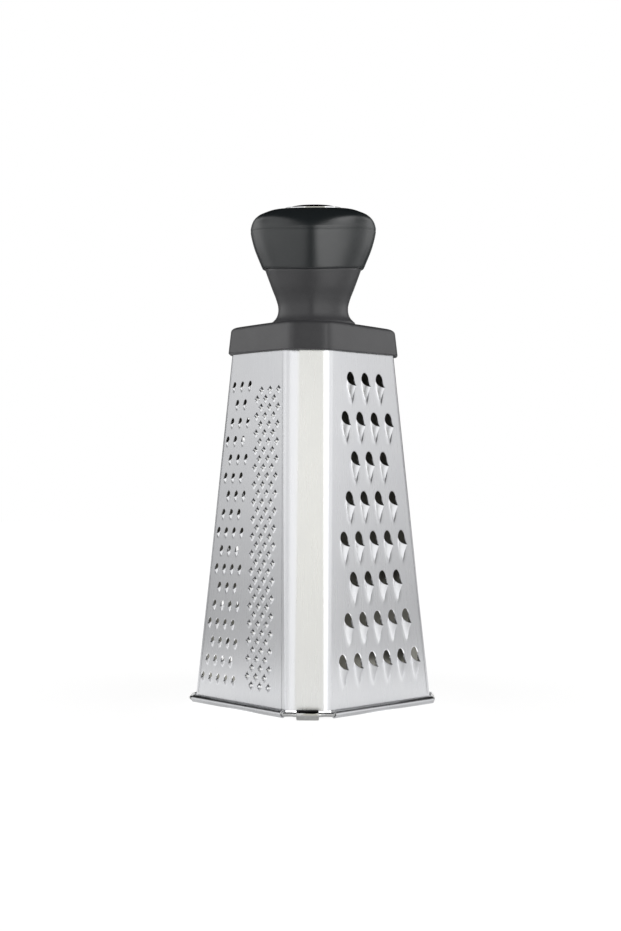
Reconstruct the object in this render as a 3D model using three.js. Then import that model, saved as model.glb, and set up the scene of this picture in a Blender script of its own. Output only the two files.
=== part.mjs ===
// Four-sided tapered box grater with a plastic knob on top.
// Millimetres, +Z up. The origin is the centre of the base, on the table.
// The coarse face looks along -Y, the fine and rasp face along -X,
// the slicing face along +Y and the medium face along +X.
import * as THREE from 'three';

// Folded stainless body
const SHEET = 0.5; // sheet thickness
const BASE_SIDE = 88.4; // across opposite faces at the table
const TAPER_HEIGHT = 165.8; // height over which the faces lean in
const COLLAR_SIDE = 63.9; // across opposite faces at that height
const CORNER_LEG = 9.3; // length that each corner strip takes from a face
const BEND_GAP = 0.2; // gap along each bend between a face and a strip
const NOTCH_RISE = 4.6; // height of the sheet's edge over the bare wire
const TAB_LENGTH = 6; // top tab folded inwards under the collar
const TAB_HALF = 18; // half length of a tab
const TAB_RELIEF = 1.5; // step in the sheet's top edge beside a tab
const LAP_SETBACK = 1.4; // the lapped edge stops short of the next bend
const LAP_INSET = 2.6; // the under layer stops short of the first bend
const LAP_GAP = 0.3; // gap between the two lapped layers

// Rolled hem, base wire and the sleeve that joins the wire's ends
const WIRE_RADIUS = 1.05;
const WIRE_CLEARANCE = 0.18; // wire to the inside of the hem
const HEM_HALF = 29.2; // half length of a hem
const HEM_CURL = 304; // degrees that the hem turns round the wire
const HEM_STEP = 30; // degrees of each flat of the curl, one of them on the table
const WIRE_CORNER_RIGHT = 14.8; // bend radii at the three plain corners
const WIRE_CORNER_REAR = 11.5;
const WIRE_CORNER_LEFT = 8.2;
const WIRE_SLEEVE_BEND = 3; // the two bends beside the sleeve
const WIRE_BUTT_GAP = 0.8; // between the wire's two ends
const SLEEVE_LENGTH = 9.9;
const SLEEVE_RADIUS = 2.1;
const SLEEVE_CLEARANCE = 0.3; // wire to the sleeve's bore
const SLEEVE_STANDOFF = 0.5; // sleeve to the corner strip's plane

// Shared shape of the teeth
const LIP_EDGE = 0.35; // cut edge of a lip
const HOOD_WALL = 0.45; // wall of a hood, along the sheet
const HOOD_FLARE = 1.1; // hood's width at the hole over the hole's width
const HOOD_BULGE = 0.8; // below 1 the hood's sides bow outwards

// Coarse teeth
const COARSE = { width: 4.7, height: 7, lip: 3.4, tail: 12, points: 10 };
const COARSE_PITCH = 9.4;
const COARSE_ROW_PITCH = 18.41;
const COARSE_FIRST_Z = 23.9; // lowest row
const COARSE_TOP = 12.9; // least height from the top row to the collar
const COARSE_CENTRE = 2.7; // offset of the pattern from the face's middle
const COARSE_MARGIN = 8.65; // kept clear beside the pattern

// Fine teeth, beside the rasp
const FINE = { width: 2.2, height: 3.1, lip: 1.3, tail: 4.2, points: 6 };
const FINE_PITCH = 5.7;
const FINE_ROW_PITCH = 8.63;
const FINE_FIRST_Z = 13.4;
const FINE_TOP = 14.2;
const FINE_RIGHT = -8; // innermost tooth of the lowest row
const FINE_MARGIN = 2.95; // from the outermost tooth to the bend

// Rasp burrs: four-sided crowns pierced through the sheet
const RASP = { reach: 2.3, rise: 2.7, crown: 1, bore: 0.6, back: 1.4, lip: 1.2 };
const RASP_PITCH = 6;
const RASP_ROW_PITCH = 4.03;
const RASP_COLUMNS = 3;
const RASP_FIRST_Z = 11.8;
const RASP_TOP = 16.9;
const RASP_CENTRE = 9; // middle of the lowest rows
const RASP_LEAN = 0.032; // sideways drift for each millimetre of height

// Medium teeth
const MEDIUM = { width: 3.4, height: 5, lip: 2.4, tail: 8.4, points: 6 };
const MEDIUM_PITCH = 7.6;
const MEDIUM_ROW_PITCH = 13.4;
const MEDIUM_FIRST_Z = 18;
const MEDIUM_TOP = 13.7;
const MEDIUM_MARGIN = 6;

// Slicing slots
const SLOT = { height: 5, lip: 3, tail: 11, end: 3 };
const SLOT_PITCH = 40.6;
const SLOT_FIRST_Z = 26.3;
const SLOT_TOP = 33.7;
const SLOT_MARGIN = 7; // from a slot's end to the bend

// Collar, neck and core: one moulding
const COLLAR_OVERLAP = 13.6; // collar height
const COLLAR_WALL = 1.4;
const COLLAR_CLEARANCE = 0.3; // steel to the inside of the collar
const COLLAR_LEG = 9.7; // corner flat of the collar
const COLLAR_BOW = 0.15; // swell of that flat, where 1 is a full arc
const COLLAR_EDGE = 2; // rounding of the collar's top edge
const COLLAR_ROOF = 2.1; // roof over the steel
const NECK_FILLET = 4.2;
const NECK_WAIST = 6; // height of the straight waist over the fillet
const NECK_HEIGHT = 28.6; // collar top to the grip's foot

// Sections of the handle: half width, half depth at the ridge, length of the
// rounded ends and half length of the rounded ridge
const RIDGE_FALL = 0.25; // slope of a flank, from the ridge to an end
const NECK = { wide: 17.2, deep: 11, end: 7, ridge: 3 };
const NECK_TOP = { wide: 23.7, deep: 13, end: 8, ridge: 2 };
const GRIP_FOOT = { wide: 24.7, deep: 13.8, end: 8, ridge: 2 };
const GRIP_BELLY = { wide: 30.3, deep: 15, end: 9, ridge: 3 };
const GRIP_SHOULDER = { wide: 26.4, deep: 12.8, end: 11, ridge: 8 };
const CAP_OPENING = { wide: 14, deep: 6.5, end: 7, ridge: 4 };

// Soft grip moulded over the core
const GRIP_WALL = 2.2;
const GRIP_GAP = 0.3; // grip to the core
const GRIP_LOWER = 18.1; // foot to the widest section
const GRIP_UPPER = 7; // widest section to the shoulder
const GRIP_CROWN = 4; // shoulder to the cap's opening

// Cap: a plated ring round a domed insert
const CAP_CLEARANCE = 0.3;
const BEZEL_WIDTH = 1.4;
const BEZEL_PROUD = 0.5; // above the grip's edge
const BEZEL_EDGE = 0.4; // chamfer of the ring's outer edge
const DOME_RISE = 2; // above the ring

// Retainer, washer and screw under the collar
const RETAINER_THICKNESS = 2.4;
const RETAINER_CLEARANCE = 1.2; // from its rim to the steel
const SEAT_GAP = 0.3; // gap between clamped pieces
const BOSS_RADIUS = 8;
const SCREW_RADIUS = 2;
const SCREW_CLEARANCE = 0.3;
const SCREW_BITE = 17; // length of thread in the core
const SCREW_HEAD_RADIUS = 4;
const SCREW_HEAD_HEIGHT = 2.6;
const SCREW_CROWN_RADIUS = 2.8; // flat end of the head
const SCREW_TIP_RADIUS = 0.5;
const WASHER_RADIUS = 5.5;
const WASHER_THICKNESS = 1;

const taper = (BASE_SIDE - COLLAR_SIDE) / 2 / TAPER_HEIGHT;
const tilt = Math.atan(taper);
const steelHalf = (z) => BASE_SIDE / 2 - taper * z;
const stripDistance = (z) => (2 * steelHalf(z) - CORNER_LEG) / Math.SQRT2;
const mitre = Math.tan(Math.PI / 8);
const tableAngle = THREE.MathUtils.degToRad(HEM_STEP / 2); // half of the facet on the table
const hemInner = WIRE_RADIUS + WIRE_CLEARANCE;
const hemOuter = hemInner + SHEET;
const wireZ = hemOuter * Math.cos(tableAngle);
const collarTop = TAPER_HEIGHT + COLLAR_OVERLAP;
const roofZ = collarTop - COLLAR_ROOF;
const tabZ = roofZ - SEAT_GAP;
const faceTop = tabZ / Math.cos(tilt);

// A triangle list that leaves out triangles with no area
class Skin {
  corners = [];

  triangle(a, b, c) {
    const area = b.clone().sub(a).cross(c.clone().sub(a)).length();
    if (area > 1e-7) this.corners.push(a, b, c);
  }

  quad(a, b, c, d) {
    this.triangle(a, b, c);
    this.triangle(a, c, d);
  }

  // Joins two rings that have the same number of points
  band(from, to) {
    from.forEach((point, i) => {
      const next = (i + 1) % from.length;
      this.quad(point, from[next], to[next], to[i]);
    });
  }

  cap(ring, up) {
    const middle = ring.reduce((sum, p) => sum.add(p), new THREE.Vector3()).divideScalar(ring.length);
    ring.forEach((point, i) => {
      const next = ring[(i + 1) % ring.length];
      if (up) this.triangle(middle, point, next);
      else this.triangle(middle, next, point);
    });
  }

  geometry() {
    const geometry = new THREE.BufferGeometry().setFromPoints(this.corners);
    geometry.computeVertexNormals();
    return geometry;
  }
}

// A skin over a row of rings, either capped at both ends or joined end to end
function loft(rings, joined = false) {
  const skin = new Skin();
  for (let i = 0; i + 1 < rings.length; i += 1) skin.band(rings[i], rings[i + 1]);
  if (joined) {
    skin.band(rings[rings.length - 1], rings[0]);
  } else {
    skin.cap(rings[0], false);
    skin.cap(rings[rings.length - 1], true);
  }
  return skin.geometry();
}

// A square section with cut corners: bow 0 leaves a flat, bow 1 a quarter circle
function squareRing(half, leg, z, bow = 1) {
  const corner = Math.min(leg, half);
  const steps = 4;
  const ring = [];
  for (let quarter = 0; quarter < 4; quarter += 1) {
    const turn = (quarter * Math.PI) / 2;
    for (let step = 0; step <= steps; step += 1) {
      const share = step / steps;
      const angle = (share * Math.PI) / 2;
      const x = half - corner + corner * (Math.cos(angle) * bow + (1 - share) * (1 - bow));
      const y = half - corner + corner * (Math.sin(angle) * bow + share * (1 - bow));
      ring.push(new THREE.Vector3(x, y, z).applyAxisAngle(new THREE.Vector3(0, 0, 1), turn));
    }
  }
  return ring;
}

const roundRing = (radius, z) => squareRing(radius, radius, z);

// A point of the -Y face: s to the right, t up the slope, n out of the sheet
function facePoint(s, t, n) {
  const out = steelHalf(0) - t * Math.sin(tilt) + n * Math.cos(tilt);
  return new THREE.Vector3(s, -out, t * Math.cos(tilt) + n * Math.sin(tilt));
}

const slopeAt = (z) => z / Math.cos(tilt);
const faceHalf = (t) => steelHalf(t * Math.cos(tilt)) - CORNER_LEG - BEND_GAP / 2;

// Rings of a tooth: its foot on the sheet, the lip's edge, the lip's inside and the rear.
// The hole is an oval whose lower half is lifted into a lip, and the hood below
// the lip runs down to a point on the sheet.
function toothRings({ width, height, lip, tail, points }, s, t) {
  const half = width / 2;
  const rim = 1 - LIP_EDGE / half;
  const wall = 1 - HOOD_WALL / half;
  const rings = [[], [], [], []];
  for (let i = 0; i < points; i += 1) {
    const angle = (2 * Math.PI * i) / points;
    const side = -half * Math.sin(angle);
    const rise = (height / 2) * Math.cos(angle);
    const lift = Math.max(0, -Math.cos(angle));
    const run = lift * lift;
    const foot = Math.sign(side) * half * HOOD_FLARE * (1 - run) ** HOOD_BULGE;
    const lifted = [
      [foot, -tail * run, 0],
      [side, rise, lip * lift],
      [side * rim, rise * rim, lip * lift - LIP_EDGE],
      [foot * wall, -tail * run * wall, -SHEET],
    ];
    const flat = [0, 0, -SHEET, -SHEET].map((n) => [side, rise, n]);
    rings.forEach((ring, place) => {
      const [across, along, n] = (lift > 0 ? lifted : flat)[place];
      ring.push([s + across, t + along, n]);
    });
  }
  return rings;
}

// Rings of a rasp burr: a four-sided crown with a hole through it
function burrRings(s, t) {
  const diamond = (across, along, n) => [
    [s, t + along, n],
    [s - across, t, n],
    [s, t - along, n],
    [s + across, t, n],
  ];
  return [
    diamond(RASP.reach, RASP.rise, 0),
    diamond(RASP.crown, RASP.crown, RASP.lip),
    diamond(RASP.bore, RASP.bore, RASP.lip),
    diamond(RASP.back, RASP.back, -SHEET),
  ];
}

// Rings of a slicing slot: the lower edge is lifted into a straight blade
function slotRings(half, t) {
  const { height, lip, tail, end } = SLOT;
  const top = height / 2;
  const inner = half - end;
  const ring = (upper, side, fall, lower) => {
    const left = [[-inner, t + top, upper], [-half, t, upper], [-side, t - fall, lower]];
    const right = left.map(([s, rise, n]) => [-s, rise, n]).reverse();
    return [...left, ...right];
  };
  return [
    ring(0, half - end / 2, tail, 0),
    ring(0, inner, top, lip),
    ring(-SHEET, inner - LIP_EDGE, top - LIP_EDGE, lip - LIP_EDGE),
    ring(-SHEET, inner - HOOD_WALL, tail - 2 * HOOD_WALL, -SHEET),
  ];
}

// Rolls the bottom edge outwards round the wire: inner and outer lines of the curl
function hemLines() {
  const start = slopeAt(wireZ - hemInner * Math.sin(tilt));
  const axis = facePoint(0, start, hemInner);
  const angles = [Math.PI + tilt];
  for (let turn = HEM_STEP / 2; turn < HEM_CURL; turn += HEM_STEP) {
    angles.push(Math.PI + THREE.MathUtils.degToRad(turn));
  }
  angles.push(Math.PI + THREE.MathUtils.degToRad(HEM_CURL));
  const line = (radius) => angles.map((angle) => [
    -axis.y + radius * Math.cos(angle),
    axis.z + radius * Math.sin(angle),
  ]);
  return { start, front: line(hemInner), back: line(hemOuter) };
}

// Folds the top edge inwards into a tab
function tabLines() {
  const front = facePoint(0, faceTop, 0);
  const back = facePoint(0, faceTop - SHEET, -SHEET);
  return {
    front: [[-front.y, front.z], [-front.y - TAB_LENGTH, front.z]],
    back: [[-back.y, back.z], [-front.y - TAB_LENGTH, front.z - SHEET]],
  };
}

// Carries a pair of lines along the sheet's edge, from one end to the other
function addEdgeForm(skin, { front, back }, from, to) {
  const at = (s, [out, z]) => new THREE.Vector3(s, -out, z);
  for (let i = 0; i + 1 < front.length; i += 1) {
    skin.quad(at(from, front[i + 1]), at(to, front[i + 1]), at(to, front[i]), at(from, front[i]));
    skin.quad(at(from, back[i]), at(to, back[i]), at(to, back[i + 1]), at(from, back[i + 1]));
    skin.quad(at(from, front[i]), at(from, back[i]), at(from, back[i + 1]), at(from, front[i + 1]));
    skin.quad(at(to, front[i]), at(to, front[i + 1]), at(to, back[i + 1]), at(to, back[i]));
  }
  const last = front.length - 1;
  skin.quad(at(from, front[last]), at(from, back[last]), at(to, back[last]), at(to, front[last]));
}

// Triangles of a flat panel with holes. The panel is divided in a skewed and very slightly
// bowed copy, where corners in a straight row are no longer in line. A triangle with another
// corner on one of its edges is split there, so that neighbours always share whole edges.
function triangulate(contour, holes) {
  const points = [contour, ...holes].flat();
  const skew = 0.37;
  const bow = 1e-5;
  const bowed = (ring) => ring.map(({ x, y }) => (
    new THREE.Vector2(x + skew * y + bow * y * y, y + bow * x * x)
  ));
  const near = 1e-6;
  const between = (p, a, b) => {
    const span = b.clone().sub(a);
    const step = p.clone().sub(a);
    const share = step.dot(span) / span.lengthSq();
    return share > 0 && share < 1 && Math.abs(step.cross(span)) / span.length() < near;
  };
  const waiting = THREE.ShapeUtils.triangulateShape(bowed(contour), holes.map(bowed));
  const triangles = [];
  while (waiting.length > 0) {
    const corners = waiting.pop();
    const [a, b, c] = corners.map((i) => points[i]);
    if (Math.abs(b.clone().sub(a).cross(c.clone().sub(a))) < near) continue;
    const cut = corners.findIndex((_, side) => points.some((point, i) => !corners.includes(i)
      && between(point, points[corners[side]], points[corners[(side + 1) % 3]])));
    if (cut < 0) {
      triangles.push(corners);
    } else {
      const [first, second, third] = [0, 1, 2].map((step) => corners[(cut + step) % 3]);
      const middle = points.findIndex((point, i) => !corners.includes(i)
        && between(point, points[first], points[second]));
      waiting.push([first, middle, third], [middle, second, third]);
    }
  }
  return triangles;
}

// One face of the body: a pierced sheet with its teeth, its hem and its top tab
function faceGeometry(piercings) {
  const skin = new Skin();
  const hem = hemLines();
  const notch = slopeAt(NOTCH_RISE);
  const outline = (n, trim, top) => [
    [-HEM_HALF, hem.start, n],
    [HEM_HALF, hem.start, n],
    [HEM_HALF, notch, n],
    [faceHalf(notch) - trim, notch, n],
    [faceHalf(top - TAB_RELIEF) - trim, top - TAB_RELIEF, n],
    [TAB_HALF, top - TAB_RELIEF, n],
    [TAB_HALF, top, n],
    [-TAB_HALF, top, n],
    [-TAB_HALF, top - TAB_RELIEF, n],
    [-faceHalf(top - TAB_RELIEF) + trim, top - TAB_RELIEF, n],
    [-faceHalf(notch) + trim, notch, n],
    [-HEM_HALF, notch, n],
  ];
  const solid = (ring) => ring.map((point) => facePoint(...point));
  const panel = (contour, holes, outwards) => {
    const flat = (ring) => ring.map(([s, t]) => new THREE.Vector2(s, t));
    const corners = solid([contour, ...holes].flat());
    triangulate(flat(contour), holes.map(flat)).forEach(([a, b, c]) => {
      if (outwards) skin.triangle(corners[a], corners[b], corners[c]);
      else skin.triangle(corners[a], corners[c], corners[b]);
    });
  };
  const front = outline(0, 0, faceTop);
  const back = outline(-SHEET, mitre * SHEET, faceTop - SHEET);
  panel(front, piercings.map((rings) => rings[0]), true);
  panel(back, piercings.map((rings) => rings[3]), false);
  piercings.forEach((rings) => {
    for (let i = 0; i < 3; i += 1) skin.band(solid(rings[i]), solid(rings[i + 1]));
  });
  const formed = [0, 6]; // the edges that run on into the hem and the tab
  front.forEach((_, i) => {
    const next = (i + 1) % front.length;
    if (!formed.includes(i)) skin.quad(...solid([front[i], back[i], back[next], front[next]]));
  });
  addEdgeForm(skin, hem, -HEM_HALF, HEM_HALF);
  addEdgeForm(skin, tabLines(), TAB_HALF, -TAB_HALF);
  return skin.geometry();
}

// Places in a row that is centred, or shifted by half a pitch on every other row
function centredRow(centre, pitch, shifted, reach) {
  const places = [];
  const count = Math.ceil((2 * reach) / pitch) + 1;
  for (let i = -count; i <= count; i += 1) {
    const s = (i + (shifted ? 0.5 : 0)) * pitch;
    if (Math.abs(s) <= reach) places.push(centre + s);
  }
  return places;
}

// Heights of the rows that fit under the collar
function rowHeights(first, pitch, top) {
  const heights = [];
  for (let z = first; z <= TAPER_HEIGHT - top; z += pitch) heights.push(z);
  return heights;
}

function coarsePiercings() {
  return rowHeights(COARSE_FIRST_Z, COARSE_ROW_PITCH, COARSE_TOP).flatMap((z, row) => {
    const t = slopeAt(z);
    const reach = faceHalf(t) - COARSE_MARGIN;
    return centredRow(COARSE_CENTRE, COARSE_PITCH, row % 2 === 0, reach)
      .map((s) => toothRings(COARSE, s, t));
  });
}

function mediumPiercings() {
  return rowHeights(MEDIUM_FIRST_Z, MEDIUM_ROW_PITCH, MEDIUM_TOP).flatMap((z, row) => {
    const t = slopeAt(z);
    const reach = faceHalf(t) - MEDIUM_MARGIN;
    return centredRow(0, MEDIUM_PITCH, row % 2 === 1, reach).map((s) => toothRings(MEDIUM, s, t));
  });
}

// Fine teeth fill each row from the middle to the left bend
function finePiercings() {
  return rowHeights(FINE_FIRST_Z, FINE_ROW_PITCH, FINE_TOP).flatMap((z, row) => {
    const t = slopeAt(z);
    const limit = FINE_MARGIN - faceHalf(t);
    const first = FINE_RIGHT - (row % 2) * (FINE_PITCH / 2);
    const count = Math.floor((first - limit) / FINE_PITCH) + 1;
    return Array.from({ length: count }, (_, i) => toothRings(FINE, first - i * FINE_PITCH, t));
  });
}

// The rasp stands beside the fine teeth and leans with the face
function raspPiercings() {
  return rowHeights(RASP_FIRST_Z, RASP_ROW_PITCH, RASP_TOP).flatMap((z, row) => {
    const shift = (row % 2 === 0 ? 0.25 : -0.25) * RASP_PITCH;
    const middle = RASP_CENTRE - RASP_LEAN * (z - RASP_FIRST_Z) + shift;
    const first = middle - ((RASP_COLUMNS - 1) / 2) * RASP_PITCH;
    return Array.from({ length: RASP_COLUMNS }, (_, i) => burrRings(first + i * RASP_PITCH, slopeAt(z)));
  });
}

function slicerPiercings() {
  return rowHeights(SLOT_FIRST_Z, SLOT_PITCH, SLOT_TOP).map((z) => {
    const t = slopeAt(z);
    return slotRings(faceHalf(t) - SLOT_MARGIN, t);
  });
}

// A corner strip between two faces, for the +X -Y corner.
// The strip runs across from one bend to the other, and depth sets it inwards.
function stripGeometry(from, to, depth, fromTrim, toTrim) {
  const along = new THREE.Vector3(1, 1, 0).normalize();
  const outward = new THREE.Vector3(1, -1, 0).normalize();
  const lean = Math.cos(Math.atan(taper * Math.SQRT2));
  const ring = (z) => {
    const at = (across, inset) => outward.clone().multiplyScalar(stripDistance(z) - inset / lean)
      .addScaledVector(along, across).setZ(z);
    return [
      at(from, depth),
      at(to, depth),
      at(to - toTrim, depth + SHEET),
      at(from + fromTrim, depth + SHEET),
    ];
  };
  return loft([ring(NOTCH_RISE), ring(tabZ - TAB_RELIEF)]);
}

const stripHalf = CORNER_LEG / Math.SQRT2 - BEND_GAP / 2;
const plainStrip = () => stripGeometry(-stripHalf, stripHalf, 0, mitre * SHEET, mitre * SHEET);
const lappedStrip = () => stripGeometry(-stripHalf + LAP_SETBACK, stripHalf, 0, 0, mitre * SHEET);
const underLap = () => {
  const depth = SHEET + LAP_GAP;
  return stripGeometry(-stripHalf + BEND_GAP, stripHalf - LAP_INSET, depth, 0, 0);
};

// The wire's route in plan, from one side of the sleeve round to the other
function wireRoute() {
  const side = -facePoint(0, hemLines().start, hemInner).y;
  const sleeveDistance = stripDistance(wireZ) + SLEEVE_STANDOFF + SLEEVE_RADIUS;
  const bend = sleeveDistance * Math.SQRT2 - side;
  const turns = [
    { x: -bend, y: -side, radius: WIRE_SLEEVE_BEND },
    { x: side, y: -side, radius: WIRE_CORNER_RIGHT },
    { x: side, y: side, radius: WIRE_CORNER_REAR },
    { x: -side, y: side, radius: WIRE_CORNER_LEFT },
    { x: -side, y: -bend, radius: WIRE_SLEEVE_BEND },
  ];
  const middle = new THREE.Vector2(-1, -1).normalize().multiplyScalar(sleeveDistance);
  const along = new THREE.Vector2(1, -1).normalize();
  const end = along.clone().multiplyScalar(WIRE_BUTT_GAP / 2);
  const first = middle.clone().add(end);
  const last = middle.clone().sub(end);
  const corners = turns.map(({ x, y }) => new THREE.Vector2(x, y));
  const points = [first];
  turns.forEach(({ radius }, i) => {
    const corner = corners[i];
    const before = (i === 0 ? first : corners[i - 1]).clone().sub(corner).normalize();
    const after = (i === turns.length - 1 ? last : corners[i + 1]).clone().sub(corner).normalize();
    const half = Math.acos(before.dot(after)) / 2;
    const reach = radius / Math.tan(half);
    const curve = new THREE.QuadraticBezierCurve(
      corner.clone().addScaledVector(before, reach),
      corner,
      corner.clone().addScaledVector(after, reach),
    );
    if (i === turns.length - 1) points.push(new THREE.Vector2(-side, -HEM_HALF));
    points.push(...curve.getPoints(i % (turns.length - 1) === 0 ? 3 : 6));
    if (i === 0) points.push(new THREE.Vector2(-HEM_HALF, -side));
  });
  points.push(last);
  return { points, middle, along, sleeveDistance, side };
}

// The wire climbs a little from the hems' level to the sleeve's axis
function wireHeight(point, route) {
  const reach = -(point.x + point.y) / Math.SQRT2;
  const hemEnd = (HEM_HALF + route.side) / Math.SQRT2;
  const share = THREE.MathUtils.smoothstep(reach, hemEnd, route.sleeveDistance - WIRE_RADIUS);
  return wireZ + share * (SLEEVE_RADIUS - wireZ);
}

function wireGeometry() {
  const route = wireRoute();
  const { points } = route;
  const sides = 8;
  const rings = points.map((point, i) => {
    const ahead = points[Math.min(i + 1, points.length - 1)];
    const behind = points[Math.max(i - 1, 0)];
    const forward = ahead.clone().sub(behind).normalize();
    const centre = new THREE.Vector3(point.x, point.y, wireHeight(point, route));
    const left = new THREE.Vector3(-forward.y, forward.x, 0);
    return Array.from({ length: sides }, (_, side) => {
      const angle = (2 * Math.PI * (side + 0.5)) / sides;
      return centre.clone().addScaledVector(left, WIRE_RADIUS * Math.cos(angle))
        .setZ(centre.z + WIRE_RADIUS * Math.sin(angle));
    });
  });
  return loft(rings);
}

function sleeveGeometry() {
  const { middle, along } = wireRoute();
  const sides = 12;
  const ring = (radius, offset) => Array.from({ length: sides }, (_, side) => {
    const angle = (2 * Math.PI * (side + 0.5)) / sides;
    const out = radius * Math.cos(angle);
    return new THREE.Vector3(
      middle.x + along.x * offset - along.y * out,
      middle.y + along.y * offset + along.x * out,
      SLEEVE_RADIUS + radius * Math.sin(angle),
    );
  });
  const half = SLEEVE_LENGTH / 2;
  const bore = WIRE_RADIUS + SLEEVE_CLEARANCE;
  return loft(
    [ring(SLEEVE_RADIUS, -half), ring(SLEEVE_RADIUS, half), ring(bore, half), ring(bore, -half)],
    true,
  );
}

// A section of the handle, which lies along the body's diagonal with its ridges over
// the front and rear corners. The points match those of a square section.
function handleRing({ wide, deep, end, ridge }, z) {
  const steps = 4;
  const flank = deep - RIDGE_FALL * (wide - end);
  const crest = Math.min(ridge, wide - end);
  const ring = [];
  for (let corner = 0; corner < 4; corner += 1) {
    const turn = Math.PI / 4 + (corner * Math.PI) / 2;
    for (let step = 0; step <= steps; step += 1) {
      const share = (2 * step) / steps - 1;
      const angle = (share * Math.PI) / 2;
      const out = corner % 2 === 0
        ? deep - (RIDGE_FALL * crest * (1 + share * share)) / 2
        : wide - end + end * Math.cos(angle);
      const across = corner % 2 === 0 ? crest * share : flank * Math.sin(angle);
      ring.push(new THREE.Vector3(out, across, z).applyAxisAngle(new THREE.Vector3(0, 0, 1), turn));
    }
  }
  return ring;
}

// The same section, larger or smaller all round
const grown = ({ wide, deep, end, ridge }, by) => ({ wide: wide + by, deep: deep + by, end, ridge });

// Sections along the handle, on a smooth run through a list of sections with heights
function sectionRun(stations) {
  const curve = new THREE.CatmullRomCurve3(
    stations.map(({ wide, deep, z }) => new THREE.Vector3(wide, deep, z)),
    false,
    'centripetal',
  );
  const last = stations.length - 1;
  return (share) => {
    const place = share * last;
    const i = Math.min(Math.floor(place), last - 1);
    const mix = (key) => THREE.MathUtils.lerp(stations[i][key], stations[i + 1][key], place - i);
    const { x, y, z } = curve.getPoint(share);
    return { wide: x, deep: y, end: mix('end'), ridge: mix('ridge'), z, run: curve.getTangent(share) };
  };
}

const waistZ = collarTop + NECK_FILLET;
const neckTop = collarTop + NECK_HEIGHT;
const neckRun = sectionRun([
  { ...NECK, z: waistZ },
  { ...NECK, z: waistZ + NECK_WAIST },
  { ...NECK_TOP, z: neckTop },
]);

const gripFoot = neckTop + GRIP_GAP;
const gripBelly = gripFoot + GRIP_LOWER;
const gripShoulder = gripBelly + GRIP_UPPER;
const gripTop = gripShoulder + GRIP_CROWN;
const gripRun = sectionRun([
  { ...GRIP_FOOT, z: gripFoot },
  { ...GRIP_BELLY, z: gripBelly },
  { ...GRIP_SHOULDER, z: gripShoulder },
  { ...CAP_OPENING, z: gripTop },
]);

// Sections of the grip, set inwards from its skin and no narrower than a given one
function gripSections(inset, least) {
  const steps = 12;
  return Array.from({ length: steps + 1 }, (_, i) => {
    const { run, ...section } = gripRun(i / steps);
    const slope = Math.hypot(run.x, run.z);
    const shift = (inset * run.z) / slope;
    return {
      ...section,
      wide: Math.max(section.wide - shift, least.wide),
      deep: Math.max(section.deep - shift, least.deep),
      z: i === 0 ? section.z : section.z + (inset * run.x) / slope,
    };
  });
}

const ringsOf = (sections) => sections.map((section) => handleRing(section, section.z));

function gripGeometry() {
  const outer = gripSections(0, CAP_OPENING);
  const inner = gripSections(GRIP_WALL, CAP_OPENING).reverse();
  return loft(ringsOf([...outer, ...inner]), true);
}

// The cap stands over the core's top, inside the grip's opening
const capSeat = gripTop - GRIP_WALL;
const bezelTop = gripTop + BEZEL_PROUD;
const bezelSection = grown(CAP_OPENING, -CAP_CLEARANCE);
const bezelInside = grown(bezelSection, -BEZEL_WIDTH);

// Collar, neck and core, from the screw's pilot hole round to the core's top
function coreGeometry() {
  const bore = SCREW_RADIUS + SCREW_CLEARANCE;
  const bossZ = tabZ - SHEET;
  const inside = (z) => squareRing(steelHalf(z) + COLLAR_CLEARANCE, CORNER_LEG, z, 0);
  const outside = (z, inset) => squareRing(
    steelHalf(z) + COLLAR_CLEARANCE + COLLAR_WALL - inset,
    COLLAR_LEG,
    z,
    COLLAR_BOW,
  );
  const edgeSteps = 3;
  const edge = Array.from({ length: edgeSteps + 1 }, (_, i) => {
    const angle = (i / edgeSteps) * (Math.PI / 2);
    const drop = COLLAR_EDGE * (1 - Math.sin(angle));
    return outside(collarTop - drop, COLLAR_EDGE * (1 - Math.cos(angle)));
  });
  const filletSteps = 4;
  const fillet = Array.from({ length: filletSteps + 1 }, (_, i) => {
    const angle = (i / filletSteps) * (Math.PI / 2);
    const flare = NECK_FILLET * (1 - Math.sin(angle));
    return handleRing(grown(NECK, flare), collarTop + NECK_FILLET * (1 - Math.cos(angle)));
  });
  const neckSteps = 8;
  const neck = Array.from({ length: neckSteps }, (_, i) => neckRun((i + 1) / neckSteps));
  const least = { wide: bezelInside.wide / 2, deep: bezelInside.deep / 2 };
  const core = gripSections(GRIP_WALL + GRIP_GAP, least);
  core[0].z = neckTop;
  core.forEach((section) => {
    section.z = Math.min(section.z, capSeat - CAP_CLEARANCE);
  });
  return loft([
    roundRing(bore, bossZ + SCREW_BITE + SCREW_CLEARANCE),
    roundRing(bore, bossZ),
    roundRing(BOSS_RADIUS, bossZ),
    roundRing(BOSS_RADIUS, roofZ),
    inside(roofZ),
    inside(TAPER_HEIGHT),
    outside(TAPER_HEIGHT, 0),
    ...edge,
    ...fillet,
    ...ringsOf(neck),
    ...ringsOf(core),
  ]);
}

function bezelGeometry() {
  return loft([
    handleRing(bezelSection, capSeat),
    handleRing(bezelSection, bezelTop - BEZEL_EDGE),
    handleRing(grown(bezelSection, -BEZEL_EDGE), bezelTop),
    handleRing(bezelInside, bezelTop),
    handleRing(bezelInside, capSeat),
  ], true);
}

function insertGeometry() {
  const section = grown(bezelInside, -CAP_CLEARANCE);
  const steps = 5;
  const dome = Array.from({ length: steps }, (_, i) => {
    const share = i / steps;
    const { wide, deep, end, ridge } = section;
    const scaled = [wide, deep, end, ridge].map((size) => size * (1 - share));
    const [w, d, e, r] = scaled;
    return handleRing({ wide: w, deep: d, end: e, ridge: r }, bezelTop + DOME_RISE * share * (2 - share));
  });
  return loft([handleRing(section, capSeat), ...dome]);
}

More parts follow.
